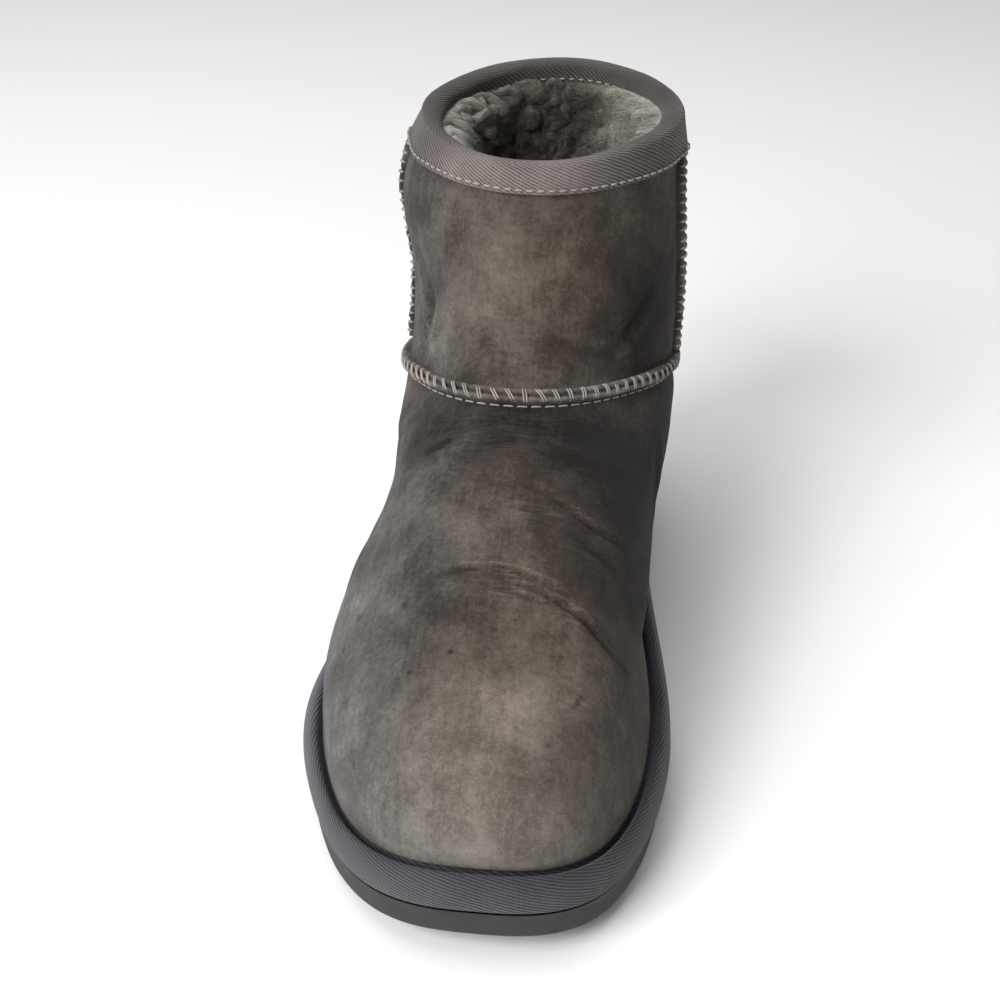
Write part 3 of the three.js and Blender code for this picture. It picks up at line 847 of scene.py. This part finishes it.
sway = sway * draw.uniform(0.6, 2.0, (LOCKS, 1))
lock_run = lock_share * lock_length[:, None]
lock_round = np.cos(heading)[:, None] * lock_run - np.sin(heading)[:, None] * sway
lock_climb = np.sin(heading)[:, None] * lock_run + np.cos(heading)[:, None] * sway
lock_rows = np.minimum(lock_row[:, None] + lock_climb / ROW_STEP, WOOL_ROWS - 2)
lock_face, lock_in = on_wool(lock_rows, lock_column[:, None] + lock_round / COLUMN_STEP)[:2]
lock_paths = lock_face + lock_in * (lock_lift[:, None] * bow - 1.2)[..., None]
lock_radii = lock_girth[:, None] * np.sqrt(bow.clip(0)) * draw.uniform(0.85, 1.12, (LOCKS, LOCK_POINTS))
lock_radii[:, [0, -1]] = 0
lock_grids = tubes(lock_paths, lock_radii, lock_in, LOCK_SIDES)
# The locks take the painted light and shade of the wool, and each its own bleach.
lock_depth, lock_bleach = wool_shades(lock_grids)
lock_bleach = lock_bleach + draw.uniform(-0.12, 0.12, LOCKS)[:, None, None]
lock_along = lock_run[:, :, None]
lock_round_uv = np.linspace(0, 2 * np.pi, lock_grids.shape[2]) * lock_girth[:, None, None]
lock_round_uv = lock_round_uv + draw.uniform(0, 90, (LOCKS, 1, 1))
lock_uv = np.stack(np.broadcast_arrays(lock_along, lock_round_uv), axis=-1)
shaft_locks = mesh_piece(
    "shaft_locks", list(lock_grids), wool, list(lock_uv), depth=[lock_depth], bleach=[lock_bleach]
)
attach(shaft_locks, "root")

HAIRS = 19000  # fine hairs that lie along the locks and lift off them at their ends
HAIR_POINTS, HAIR_HALF_WIDTH = 5, 0.11
hair_lock = draw.integers(0, LOCKS, HAIRS)
hair_share = np.linspace(0, 1, HAIR_POINTS)
hair_at = draw.uniform(0.6, 5.6, (HAIRS, 1)) + draw.uniform(1.2, 2.3, (HAIRS, 1)) * hair_share
lock_along_way = unit(np.gradient(lock_paths, axis=1))
lock_aside = unit(np.cross(lock_along_way, lock_in))
lock_over = np.cross(lock_aside, lock_along_way)


def on_lock(values):
    """Values of the locks at the points of the hairs that lie on them."""
    before = hair_at.astype(int)
    part = (hair_at - before).reshape(HAIRS, HAIR_POINTS, *[1] * (values.ndim - 2))
    return values[hair_lock[:, None], before] * (1 - part) + values[hair_lock[:, None], before + 1] * part


def strands(name, paths, half_width, least, most):
    """A narrow ribbon of wool along each path, each bleached by its own amount from least to most."""
    grids = np.stack([paths - half_width, paths + half_width], axis=2)
    depth, bleach = wool_shades(grids)
    bleach = bleach + draw.uniform(least, most, (len(paths), 1, 1))
    uvs = np.zeros((*grids.shape[:3], 2))
    uvs[..., 0] = 4 * np.linspace(0, 1, paths.shape[1])[:, None]
    uvs[..., 1] = draw.uniform(0, 90, (len(paths), 1, 1))
    return mesh_piece(name, list(grids), wool, list(uvs), depth=[depth], bleach=[bleach])


hair_turn = (draw.uniform(0.1, 3.0, (HAIRS, 1)) + draw.normal(0, 0.5, (HAIRS, 1)) * hair_share)[..., None]
hair_out = np.cos(hair_turn) * on_lock(lock_aside) + np.sin(hair_turn) * on_lock(lock_over)
hair_off = 1.03 * on_lock(lock_radii) + draw.uniform(0, 1.3, (HAIRS, 1)) * hair_share**2
hair_paths = on_lock(lock_paths) + hair_out * hair_off[..., None]
hair_wide = np.cos(hair_turn) * on_lock(lock_over) - np.sin(hair_turn) * on_lock(lock_aside)
hair_width = HAIR_HALF_WIDTH * (1.15 - hair_share)[None, :, None] * hair_wide
lock_hairs = strands("lock_hairs", hair_paths, hair_width, -0.1, 0.22)
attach(lock_hairs, "root")

# Loose fibres stand off the base of the wool. The 702 that are rooted past its last row but one have no
# way up, so they shrink to a point at the part's origin and don't show.
FIBRES = 25000
FIBRE_POINTS, FIBRE_HALF_WIDTH = 4, 0.09
fibre_row = draw.uniform(0.1, 1.0, FIBRES) ** 0.45 * (WOOL_ROWS - 1)
fibre_column = draw.uniform(0, ROUND, FIBRES)
fibre_root, fibre_in, fibre_round, fibre_up = on_wool(fibre_row, fibre_column)
fibre_turn = (1.6 + 3.2 * noise(fibre_root, 8, 33) + draw.normal(0, 0.45, FIBRES))[:, None]
rising = (smooth(78, 87, fibre_row) * 0.5 + smooth(4, 24, fibre_root[:, 0]))[:, None]
fibre_way = unit(np.cos(fibre_turn) * fibre_round + (np.sin(fibre_turn) + 0.4 * rising) * fibre_up)
fibre_curl = np.cross(fibre_in, fibre_way)
fibre_share = np.linspace(0, 1, FIBRE_POINTS)
fibre_reach = draw.uniform(1.8, 4.6, (FIBRES, 1))
fibre_paths = (
    fibre_root[:, None]
    + fibre_in[:, None] * (draw.uniform(1.4, 4.2, (FIBRES, 1)) * np.sin(1.9 * fibre_share))[..., None]
    + fibre_way[:, None] * (fibre_reach * fibre_share)[..., None]
    + fibre_curl[:, None] * (draw.normal(0, 1.3, (FIBRES, 1)) * fibre_share**2)[..., None]
)
fibre_wide = unit(fibre_curl + 0.3 * fibre_in)[:, None]
fibre_width = FIBRE_HALF_WIDTH * (1.1 - fibre_share)[None, :, None] * fibre_wide
shaft_fibres = strands("shaft_fibres", fibre_paths, fibre_width, -0.1, 0.16)
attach(shaft_fibres, "root")

# ---------------------------------------------------------------------------------------------------
# Side seams: the panels' edges are turned outwards, laid side by side and whipped over with a thick
# thread. They stand proud up both sides of the shaft and run under the tape.

SEAM_PROFILE = [
    (-2.8, -1.4),
    (-2.8, 0.8),
    (-2.6, 1.7),
    (-2.1, 2.4),
    (-1.3, 2.5),
    (-0.7, 2.2),
    (-0.3, 1.8),
    (0.3, 1.8),
    (0.7, 2.2),
    (1.3, 2.5),
    (2.1, 2.4),
    (2.6, 1.7),
    (2.8, 0.8),
    (2.8, -1.4),
]  # (aside of the seam, proud of the skin)
SEAM_SLIMMING = 0.86  # how much narrower the edges are once the thread has drawn them together
SEAM_ROWS = 90
SEAM_START = 3.4  # how far above the ankle seam the side seams start
edge_dyes = (dyed(40, 35, 32), dyed(76, 69, 64), dyed(106, 98, 92), dyed(150, 142, 134))
edge_suede = suede("edge_suede", *edge_dyes, clouds=0.9)


def seam_bar(line, out, aside):
    """Two hide edges that stand side by side along a line: a grid of rows along the seam."""
    across, proud = np.array(SEAM_PROFILE).T
    bar = line[:, None] + aside[:, None] * (across * SEAM_SLIMMING)[:, None] + out[:, None] * proud[:, None]
    rough = (noise(bar, 1.2, 41) * 0.5 + noise(bar, 5, 43) * 0.3)[..., None]
    return bar + rough * out[:, None] * (proud > 1)[:, None]


WHIP_POINTS, WHIP_REACH, WHIP_TOP = 11, 2.42, 2.62  # how far aside and how high a stitch goes
SIDE_THREAD, SIDE_PITCH, SIDE_SLANT = 0.52, 3.0, 0.5


def whip_stitches(line_at, distances, slant, thread):
    """Stitches that go over a seam at the given distances along it. line_at gives a point of the seam,
    the way out and the way aside at any distance."""
    across = np.linspace(-1, 1, WHIP_POINTS)
    hand = np.random.default_rng(len(distances))
    lean = slant * (1 + 0.35 * hand.normal(0, 1, (len(distances), 1)))
    at = distances[:, None] + 0.12 * hand.normal(0, 1, (len(distances), 1)) + lean * across
    point, out, aside = line_at(at)
    proud = WHIP_TOP * (1 - np.abs(across) ** 3.5) ** 0.6 + 0.1
    paths = point + aside * (WHIP_REACH * across)[:, None] + out * proud[:, None]
    radii = np.full(at.shape, thread)
    radii[:, [0, -1]] = 0
    return tubes(paths, radii, out)


def thread_material(name, dark, pale):
    """Twisted sewing thread, a little grimy."""
    material, tree, shader = new_material(name, Roughness=0.7, Specular_IOR_Level=0.3)
    twist = grains(tree, 0.3, place(tree), 2)
    tone = plus(tree, grains(tree, 3, place(tree), 3), times(tree, twist, 0.3))
    colour = blended(tree, minus(tree, tone, 0.15), dark, pale)
    tree.links.new(colour, shader.inputs["Base Color"])
    bump_by(tree, shader, twist, 0.6, 0.1)
    return material


seam_thread = thread_material("seam_thread", dyed(112, 105, 99), dyed(176, 168, 161))


def seam_shades(bar):
    """The painted shades of a seam: painted shade in the groove between the raw edges and along the foot of
    each edge, and the edges' own patchy tone.
    """
    middle = np.abs(np.array(SEAM_PROFILE)[:, 0])
    # Painted shade in the groove and at the foot of the edges; the noise is the edges' own patchy tone.
    wear = 0.06 - 0.3 * smooth(0.9, 0.4, middle) - 0.3 * smooth(2.3, 2.7, middle) + 0.2 * noise(bar, 4, 42)
    return {"wear": [wear], "warmth": [0 * wear], "stain": [0 * wear], "crease": [0 * wear]}


def at_distance(distance, run, values):
    """Values at distances along a line, from its run and the values at its points."""
    return [np.stack([np.interp(distance, run, v[:, k]) for k in range(3)], axis=-1) for v in values]


for node, column in (("side_seam_outer", OUTER_SEAM), ("side_seam_inner", INNER_SEAM)):
    low, high = level_after(ANKLE, SEAM_START)[column], level_after(COLLAR, -TAPE_DEPTH + 2)[column]
    levels = np.linspace(low, high, SEAM_ROWS)
    seam_line = np.stack([skin(level)[column] for level in levels])
    seam_out = np.stack([skin_normal(level)[column] for level in levels])
    seam_aside = unit(np.stack([skin(level)[column + 1] - skin(level)[column - 1] for level in levels]))
    run = lengths(seam_line)

    def seam_at(distance):
        return at_distance(distance, run, (seam_line, seam_out, seam_aside))

    bar = seam_bar(seam_line, seam_out, seam_aside)
    edges = mesh_piece(f"{node}_edges", [bar], edge_suede, **seam_shades(bar))
    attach(edges, "root")
    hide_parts(node)
    places = np.arange(1.5, run[-1] - 1, SIDE_PITCH)
    stitches = whip_stitches(seam_at, places, SIDE_SLANT, SIDE_THREAD)
    whip = mesh_piece(f"{node}_stitches", list(stitches), seam_thread)
    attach(whip, "root")

# ---------------------------------------------------------------------------------------------------
# Ankle seam: the shaft and the foot of the upper meet in the same outturned seam, whipped over in
# slanted pairs of stitches, with one more row of lock stitches just under it.

ANKLE_THREAD, ANKLE_PITCH, ANKLE_SLANT, PAIR_HALF_GAP = 0.26, 4.4, -1.2, 0.42
LOCK_ROW_DROP, LOCK_PITCH, LOCK_THREAD = 3.1, 4.2, 0.28
DASH_POINTS = 7
ankle_line, ankle_out = skin(ANKLE), skin_normal(ANKLE)
ankle_up = unit(skin(ANKLE + 0.03) - skin(ANKLE - 0.03))


def closed_line(points):
    return np.concatenate([points, points[:1]])


def ring_at(distance, line, *ways):
    """Values at distances round a closed line: its points, and what is given for each of them."""
    run = lengths(closed_line(line))
    return at_distance(np.mod(distance, run[-1]), run, [closed_line(v) for v in (line, *ways)])


def ankle_at(distance):
    return ring_at(distance, ankle_line, ankle_out, ankle_up)


ankle_bar = seam_bar(closed_line(ankle_line), closed_line(ankle_out), closed_line(ankle_up))
ankle_edges = mesh_piece("ankle_seam_edges", [ankle_bar], edge_suede, **seam_shades(ankle_bar))
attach(ankle_edges, "root")
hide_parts("ankle_seam")

ankle_run = lengths(closed_line(ankle_line))[-1]
pairs = np.linspace(0, ankle_run, round(ankle_run / ANKLE_PITCH), endpoint=False)
ankle_stitches = [
    whip_stitches(ankle_at, pairs + off, ANKLE_SLANT, ANKLE_THREAD) for off in (-PAIR_HALF_GAP, PAIR_HALF_GAP)
]
ankle_whip = mesh_piece("ankle_seam_stitches", list(np.concatenate(ankle_stitches)), seam_thread)
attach(ankle_whip, "root")


def dashes(line, out, pitch, share, thread, proud):
    """A row of stitches round a closed line, each a short tube that dives in at both ends."""
    run = lengths(closed_line(line))[-1]
    count = round(run / pitch)
    along = np.linspace(-0.5, 0.5, DASH_POINTS) * run / count * share
    at = np.linspace(0, run, count, endpoint=False)[:, None] + along
    point, way_out = ring_at(at, line, out)
    rise = proud - thread * 1.4 * np.abs(np.linspace(-1, 1, DASH_POINTS)) ** 5
    radii = np.full(at.shape, thread)
    radii[:, [0, -1]] = 0
    return tubes(point + way_out * rise[:, None], radii, way_out)


lock_level = level_after(ANKLE, -LOCK_ROW_DROP)
lock_stitches = dashes(skin(lock_level), skin_normal(lock_level), LOCK_PITCH, 0.88, LOCK_THREAD, 0.42)
ankle_lock_row = mesh_piece("ankle_lock_stitches", list(lock_stitches), seam_thread)
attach(ankle_lock_row, "root")

# ---------------------------------------------------------------------------------------------------
# Collar tape: a woven twill tape folded over the pressed edge of the collar and stitched through both
# of its edges. It bulges where the side seams run under it.


def twill_effect():
    """Group: the ribs of a twill weave, from UVs in millimetres. Angle is in radians."""
    group, given, made = effect("twill_weave", {"Pitch": 0.85, "Angle": 0.6}, ["Rib", "Yarn"])
    uv = wire(group, "TexCoord").outputs["UV"]
    split = wire(group, "SeparateXYZ", {0: uv})
    wobble = times(group, minus(group, grains(group, 3, place(group), 2), 0.5), 0.5)
    lean = times(group, split.outputs[0], maths(group, "SINE", given.outputs["Angle"]))
    climb = times(group, split.outputs[1], maths(group, "COSINE", given.outputs["Angle"]))
    slope = plus(group, plus(group, lean, climb), wobble)
    step = maths(group, "DIVIDE", slope, given.outputs["Pitch"])
    rib = maths(group, "SINE", times(group, step, 2 * np.pi))
    rib = plus(group, times(group, rib, 0.5), 0.5)
    crossing = maths(group, "DIVIDE", split.outputs[0], times(group, given.outputs["Pitch"], 0.8))
    yarn = maths(group, "SINE", times(group, crossing, 2 * np.pi))
    yarn = plus(group, times(group, yarn, 0.5), 0.5)
    group.links.new(rib, made.inputs["Rib"])
    group.links.new(yarn, made.inputs["Yarn"])
    return group


twill = twill_effect()


def woven_tape(name, dark, pale, pitch, angle, rib_contrast):
    """Twill tape: ribs and yarns from the weave, with grime in cloudy patches, and with grime,
    painted shade and painted light where they are painted on the points.
    """
    material, tree, shader = new_material(
        name, Roughness=0.85, Specular_IOR_Level=0.2, Sheen_Weight=0.15, Sheen_Roughness=0.5
    )
    weave = use_effect(tree, twill, {"Pitch": pitch, "Angle": angle})
    dust = times(tree, grains(tree, 1.2, place(tree), 3), 0.35)
    grime = plus(tree, grains(tree, 18, place(tree), 4), dust)
    ribs = times(tree, weave["Rib"], rib_contrast)
    tone = plus(tree, ribs, times(tree, grime, 0.75))
    tone = plus(tree, tone, times(tree, weave["Yarn"], 0.1))
    # The painted value darkens the weave, or pales it where negative: grime with painted light and shade.
    tone = minus(tree, minus(tree, tone, 0.3), painted(tree, "grime"))
    tree.links.new(blended(tree, tone, dark, pale), shader.inputs["Base Color"])
    height = plus(tree, weave["Rib"], times(tree, weave["Yarn"], 0.35))
    bump_by(tree, shader, height, 0.8, 0.22)
    return material


collar_tape = woven_tape("collar_tape", dyed(58, 53, 51), dyed(142, 133, 128), 0.85, 0.42, 0.6)

TAPE = 1.3
TAPE_ROLL = 2.4  # how far the fold of the tape rises above the collar
SEAM_BULGE, BULGE_REACH = 1.7, 6  # of the tape over the side seams
TAPE_OUT = GAP + TAPE  # the tape's outer face, proud of the skin
TAPE_IN = -PRESSED_WALL - GAP - TAPE
collar_run = lengths(closed_line(skin(COLLAR)))


def away_from(column):
    """Distance round the collar from a column to every column."""
    apart = np.abs(collar_run[:-1] - collar_run[column])
    return np.minimum(apart, collar_run[-1] - apart)


bulges = [np.exp(-((away_from(column) / BULGE_REACH) ** 2)) for column in (OUTER_SEAM, INNER_SEAM)]
seam_bulge = SEAM_BULGE * (bulges[0] + bulges[1])
collar_wave = 0.6 * noise(skin(COLLAR), 22, 51)

# Each row of the tape is (share of its depth below the collar, proud of the skin, raised by).
tape_profile = [(1, GAP, 0), (1, GAP + 0.9, 0), (0.97, TAPE_OUT, 0)]
tape_profile += [(share, TAPE_OUT, 0) for share in np.linspace(0.9, 0, 14)]
fold_middle, fold_half = (TAPE_OUT + TAPE_IN) / 2, (TAPE_OUT - TAPE_IN) / 2
for turn in np.linspace(0, np.pi, 15)[1:-1]:
    tape_profile.append((0, fold_middle + fold_half * np.cos(turn), TAPE_ROLL * np.sin(turn) ** 0.85))
tape_profile += [(share, TAPE_IN, 0) for share in np.linspace(0, 0.92, 12)]
tape_profile += [(1, TAPE_IN + 0.4, 0), (1, TAPE_IN + TAPE, 0)]
tape_profile += [(0.5, TAPE_IN + TAPE, 0), (0, TAPE_IN + TAPE, GAP), (0, GAP, GAP)]
tape_profile += [(0.5, GAP, 0), tape_profile[0]]

tape_rows, tape_v, tape_grime = [], [0], []
for share, proud, lift in tape_profile:
    level = level_after(COLLAR, -share * tape_depth) if share else np.full(ROUND, float(COLLAR))
    outside = smooth(TAPE_IN, TAPE_OUT, proud)
    ripple = 0.16 * noise(skin(level) + 7 * proud, 5, 52)
    push = proud + seam_bulge * outside * (0.25 + 0.75 * share) + ripple
    row = skin(level) + skin_normal(level) * push[:, None]
    row[:, 2] += lift + collar_wave * (1 - share)
    tape_rows.append(row)
    # Painted shade with grime on the tape: darker towards both sides, over the inner half of the fold and
    # on the inner face, and almost clean on the outer face at the front.
    aslant = 0.26 * smooth(-10, -42, row[:, 0]) + 0.2 * smooth(8, 42, row[:, 0])
    dirty = 0.3 + aslant + 0.2 * smooth(TAPE_OUT, fold_middle, proud)
    tape_grime.append(dirty * (1 - 0.9 * at_front**5 * outside))
    if len(tape_rows) > 1:
        tape_v.append(tape_v[-1] + np.linalg.norm(tape_rows[-1][TOE] - tape_rows[-2][TOE]))
tape_grid = closed(np.stack(tape_rows))
tape_uv = np.stack(np.broadcast_arrays(collar_run[None, :], np.array(tape_v)[:, None]), axis=-1)

tape_grime = closed(np.stack(tape_grime))
tape_piece = mesh_piece("collar_tape", [tape_grid], collar_tape, [tape_uv], grime=[tape_grime])
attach(tape_piece, "root")
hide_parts("collar_binding")

TAPE_PITCH = 3.3
outer_level, inner_level = level_after(COLLAR, 1.4 - tape_depth), level_after(COLLAR, -3.8)
outer_out, inner_out = skin_normal(outer_level), skin_normal(inner_level)
outer_stitch_line = skin(outer_level) + outer_out * (TAPE_OUT + seam_bulge)[:, None]
outer_stitch_line[:, 2] += collar_wave * 0.13
inner_stitch_line = skin(inner_level) + inner_out * TAPE_IN
tape_stitches = [
    dashes(outer_stitch_line, outer_out, TAPE_PITCH, 0.72, 0.36, 0.3),
    dashes(inner_stitch_line, -inner_out, TAPE_PITCH, 0.6, 0.3, 0.25),
]
tape_stitch_rows = mesh_piece("collar_tape_stitches", list(np.concatenate(tape_stitches)), seam_thread)
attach(tape_stitch_rows, "root")

# ---------------------------------------------------------------------------------------------------
# Footbed: a loose insole of the same sheepskin, wool side up, pressed a little flatter than the
# lining.


def across(ring, samples=2):
    """Lines from one side of a ring of points to the other, from its heel to its toe."""
    half = len(ring) // 2
    outer, inner = ring[: half + 1], ring[-np.arange(half + 1)]
    share = np.linspace(0, 1, samples)[:, None]
    return outer[:, None] + (inner - outer)[:, None] * share


def from_edge(grid):
    """How far each point of such lines is from the nearer end of its line."""
    chord = np.linalg.norm(grid[:, -1] - grid[:, 0], axis=1)[:, None]
    share = np.linspace(0, 1, grid.shape[1])
    return np.minimum(share, 1 - share) * chord


INSOLE = 7
BED_COLUMNS = 72
bed_ring = sole_outline(-WALL - 0.8)
bed_ring[:, 2] = sole_top(along_of(bed_ring)) + GAP
bed_top = across(bed_ring, BED_COLUMNS)
bed_rise = 1 - np.exp(-from_edge(bed_top) / 2.2)
bed_top[..., 2] += bed_rise * (INSOLE - 0.8 + 0.5 * wool_height(bed_top, 1.4))
bed_bottom = across(bed_ring)[:, ::-1]
# The footbed is darkened evenly with painted shade, as the wool deep inside the boot is.
footbed = mesh_piece(
    "footbed_wool",
    [bed_top, bed_bottom],
    wool,
    [hair_uv(bed_top), hair_uv(bed_bottom)],
    depth=[0.25 + 0 * bed_top[..., 0], 0.25 + 0 * bed_bottom[..., 0]],
    bleach=[0 * bed_top[..., 0], 0 * bed_bottom[..., 0]],
)
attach(footbed, "root")
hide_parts("insole")

# ---------------------------------------------------------------------------------------------------
# Rim: the edge of the soft midsole, a rounded roll wrapped in a bias strip of dark twill. It stands
# out round the foot of the upper, with a narrow dark gap between them.

RIM_HEIGHT = 12.5
RIM_PROFILE = [
    (RIM_MARGIN - 3, 0),
    (RIM_MARGIN - 0.8, 0.9),
    (RIM_MARGIN, 4),
    (RIM_MARGIN + 0.1, 6.5),
    (RIM_MARGIN - 0.3, 9.3),
    (RIM_MARGIN - 1.4, 11.5),
    (RIM_MARGIN - 2.8, 12.5),
    (RIM_MARGIN - 4.2, 12.1),
    (1.1, 10.4),
    (0.4, 8.6),
    (-0.6, 9.5),
    (-1.4, 12.5),
]  # (margin past the upper, height above the rim's underside)
rim_shape = np.array([(margin, height, 0) for margin, height in RIM_PROFILE], float)
rim_run = lengths(rim_shape)
RIM_ROWS = 48
rim_even = np.linspace(0, rim_run[-1], RIM_ROWS)
rim_margins = through(list(zip(rim_run, rim_shape[:, 0])), rim_even)
rim_heights = through(list(zip(rim_run, rim_shape[:, 1])), rim_even)


def sole_ring(margin, heights, columns=ROUND):
    """The sole's outline at a margin, with its height worked out from the distance along the sole."""
    ring = sole_outline(margin, columns)
    ring[:, 2] = heights(along_of(ring))
    return ring


rim_rows = np.stack(
    [sole_ring(m, lambda s, h=h: sole_top(s) - RIM_HEIGHT + h) for m, h in zip(rim_margins, rim_heights)]
)
rim_rows += (0.25 * noise(rim_rows, 16, 61) * smooth(0, 6, rim_even)[:, None])[..., None] * [0, 0, 1]
rim_grid = closed(rim_rows)
rim_length = lengths(closed_line(sole_outline(RIM_MARGIN)))
rim_uv = np.stack(np.broadcast_arrays(rim_length[None, :], rim_even[:, None]), axis=-1)
rim_under, rim_over = across(rim_rows[0])[:, ::-1], across(rim_rows[-1])
plain_uv = [np.zeros((*grid.shape[:2], 2)) for grid in (rim_under, rim_over)]
rim_twill = woven_tape("rim_twill", dyed(40, 38, 42), dyed(92, 90, 97), 1.0, 0.3, 0.62)

rim_grids = [rim_grid, rim_under, rim_over]
# Painted on the rim: a little darker over the inner side as painted shade, paler over the outer side
# as painted light, and darker towards the toe.
rim_grime = [
    0.06 * smooth(0, 50, grid[..., 0])
    - 0.42 * smooth(-40, -54, grid[..., 0])
    + 0.2 * smooth(190, 240, along_of(grid))
    for grid in rim_grids
]
rim = mesh_piece("fabric_rim", rim_grids, rim_twill, [rim_uv, *plain_uv], grime=rim_grime)
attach(rim, "root")
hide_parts("midsole")

# ---------------------------------------------------------------------------------------------------
# Outsole: a light moulded foam-rubber unit under the rim, with a raised arch, toe spring and curved
# tread grooves.

ARCH_RISE = 2
SOLE_COLUMNS, TREAD_COLUMNS = 1152, 72
GROOVE_WIDTH, GROOVE_DEPTH, GROOVE_EDGE = 3.4, 2.4, 7
GROOVES = [(24, -9), (37, -9), (50, -9), (63, -9), (76, -9)]  # (middle of a groove, sweep of its ends)
GROOVES += [(166 + 13 * i, 12 + i) for i in range(7)]


def sole_bottom(along):
    arch = smooth(95, 125, along) - smooth(125, 155, along)
    return ARCH_RISE * arch + sole_spring(along)


def outsole_ring(margin, rise):
    return sole_ring(margin, lambda s: sole_bottom(s) + rise, SOLE_COLUMNS)


outsole_bottom = outsole_ring(RIM_MARGIN - 3.5, 0)
outsole_top = sole_ring(RIM_MARGIN - 1.6, lambda s: sole_top(s) - RIM_HEIGHT - GAP, SOLE_COLUMNS)
tread = across(outsole_bottom, TREAD_COLUMNS)[:, ::-1]
tread_x, tread_along = tread[..., 0] / 55, along_of(tread)
cut = np.zeros(tread.shape[:2])
for middle, sweep in GROOVES:
    off = np.abs(tread_along - (middle - sweep * tread_x**2))
    cut = np.maximum(cut, smooth(GROOVE_WIDTH / 2 + 0.25, GROOVE_WIDTH / 2 - 0.45, off))
cut *= smooth(GROOVE_EDGE - 0.5, GROOVE_EDGE + 0.5, from_edge(tread))
tread[..., 2] = sole_bottom(tread_along) + GROOVE_DEPTH * cut
side_rows = [outsole_bottom, outsole_ring(RIM_MARGIN - 2.6, 0.35), outsole_ring(RIM_MARGIN - 2, 1.2)]
side_rows += [side_rows[-1] + (outsole_top - side_rows[-1]) * share for share in (0.25, 0.5, 0.75, 1)]
outsole_side = closed(np.stack(side_rows))


def foam_rubber():
    """Moulded foam rubber: matt, finely pebbled, dusty where it meets the ground."""
    material, tree, shader = new_material("foam_rubber", Roughness=0.75, Specular_IOR_Level=0.35)
    where = place(tree)
    pebble = wire(tree, "TexVoronoi", {"Vector": where, "Scale": 1 / (1.1 * MM)}, feature="SMOOTH_F1")
    height = wire(tree, "SeparateXYZ", {0: where}).outputs[2]
    near_ground = {"Value": height, "From Min": 0.004, "From Max": 0, "To Min": 0, "To Max": 0.6}
    low = wire(tree, "MapRange", near_ground).outputs[0]
    dust = times(tree, low, grains(tree, 12, where, 4))
    base = blended(tree, grains(tree, 4, where, 3), dyed(44, 42, 44), dyed(66, 63, 64))
    tree.links.new(blended(tree, dust, base, dyed(120, 113, 104)), shader.inputs["Base Color"])
    bump_by(tree, shader, pebble.outputs["Distance"], 0.5, 0.2)
    return material


outsole = mesh_piece("outsole_tread", [tread, outsole_side, across(outsole_top)], foam_rubber())
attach(outsole, "root")
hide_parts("outsole")

# ---------------------------------------------------------------------------------------------------
# Floor, light and camera: a plain pale floor, one large soft lamp high on the outer side in front, a
# softer one overhead, and the camera in front of the toe, looking down.

floor_mesh = bpy.data.meshes.new("floor")
floor_mesh.from_pydata([(-8, -8, 0), (8, -8, 0), (8, 8, 0), (-8, 8, 0)], [], [(0, 1, 2, 3)])
floor_material, floor_tree, floor_shader = new_material("pale_floor", Roughness=0.9, Specular_IOR_Level=0.1)
floor_clouds = grains(floor_tree, 300, place(floor_tree), 2)
floor_tone = blended(floor_tree, floor_clouds, dyed(248, 248, 248), dyed(251, 251, 251))
floor_tree.links.new(floor_tone, floor_shader.inputs["Base Color"])
floor_mesh.materials.append(floor_material)
floor = bpy.data.objects.new("floor", floor_mesh)
bpy.context.scene.collection.objects.link(floor)

world = bpy.data.worlds.new("studio")
world.use_nodes = True
world.node_tree.nodes["Background"].inputs["Color"].default_value = (1, 1, 1, 1)
world.node_tree.nodes["Background"].inputs["Strength"].default_value = 0.34
bpy.context.scene.world = world
bpy.context.scene.view_settings.view_transform = "Standard"

Lamp = namedtuple("Lamp", "name place size power")
LAMP_AIM = Vector((0, -0.02, 0.06))
for lamp in (Lamp("key", (-0.72, -0.95, 0.95), 0.8, 22), Lamp("overhead", (-0.25, 0.1, 1.5), 1.2, 9.5)):
    light = bpy.data.lights.new(lamp.name, "AREA")
    light.size, light.energy = lamp.size, lamp.power
    held = bpy.data.objects.new(lamp.name, light)
    held.location = lamp.place
    held.rotation_euler = (LAMP_AIM - held.location).to_track_quat("-Z", "Y").to_euler()
    bpy.context.scene.collection.objects.link(held)

CAMERA_PLACE = Vector((0.0417, -0.3872, 0.2964))
CAMERA_AIM = Vector((-0.0004, -0.020, 0.0690))
camera = bpy.data.objects.new("camera", bpy.data.cameras.new("camera"))
camera.data.lens = 52.5
camera.data.clip_start = 0.01
camera.location = CAMERA_PLACE
camera.rotation_euler = (CAMERA_AIM - CAMERA_PLACE).to_track_quat("-Z", "Y").to_euler()
bpy.context.scene.collection.objects.link(camera)
bpy.context.scene.camera = camera
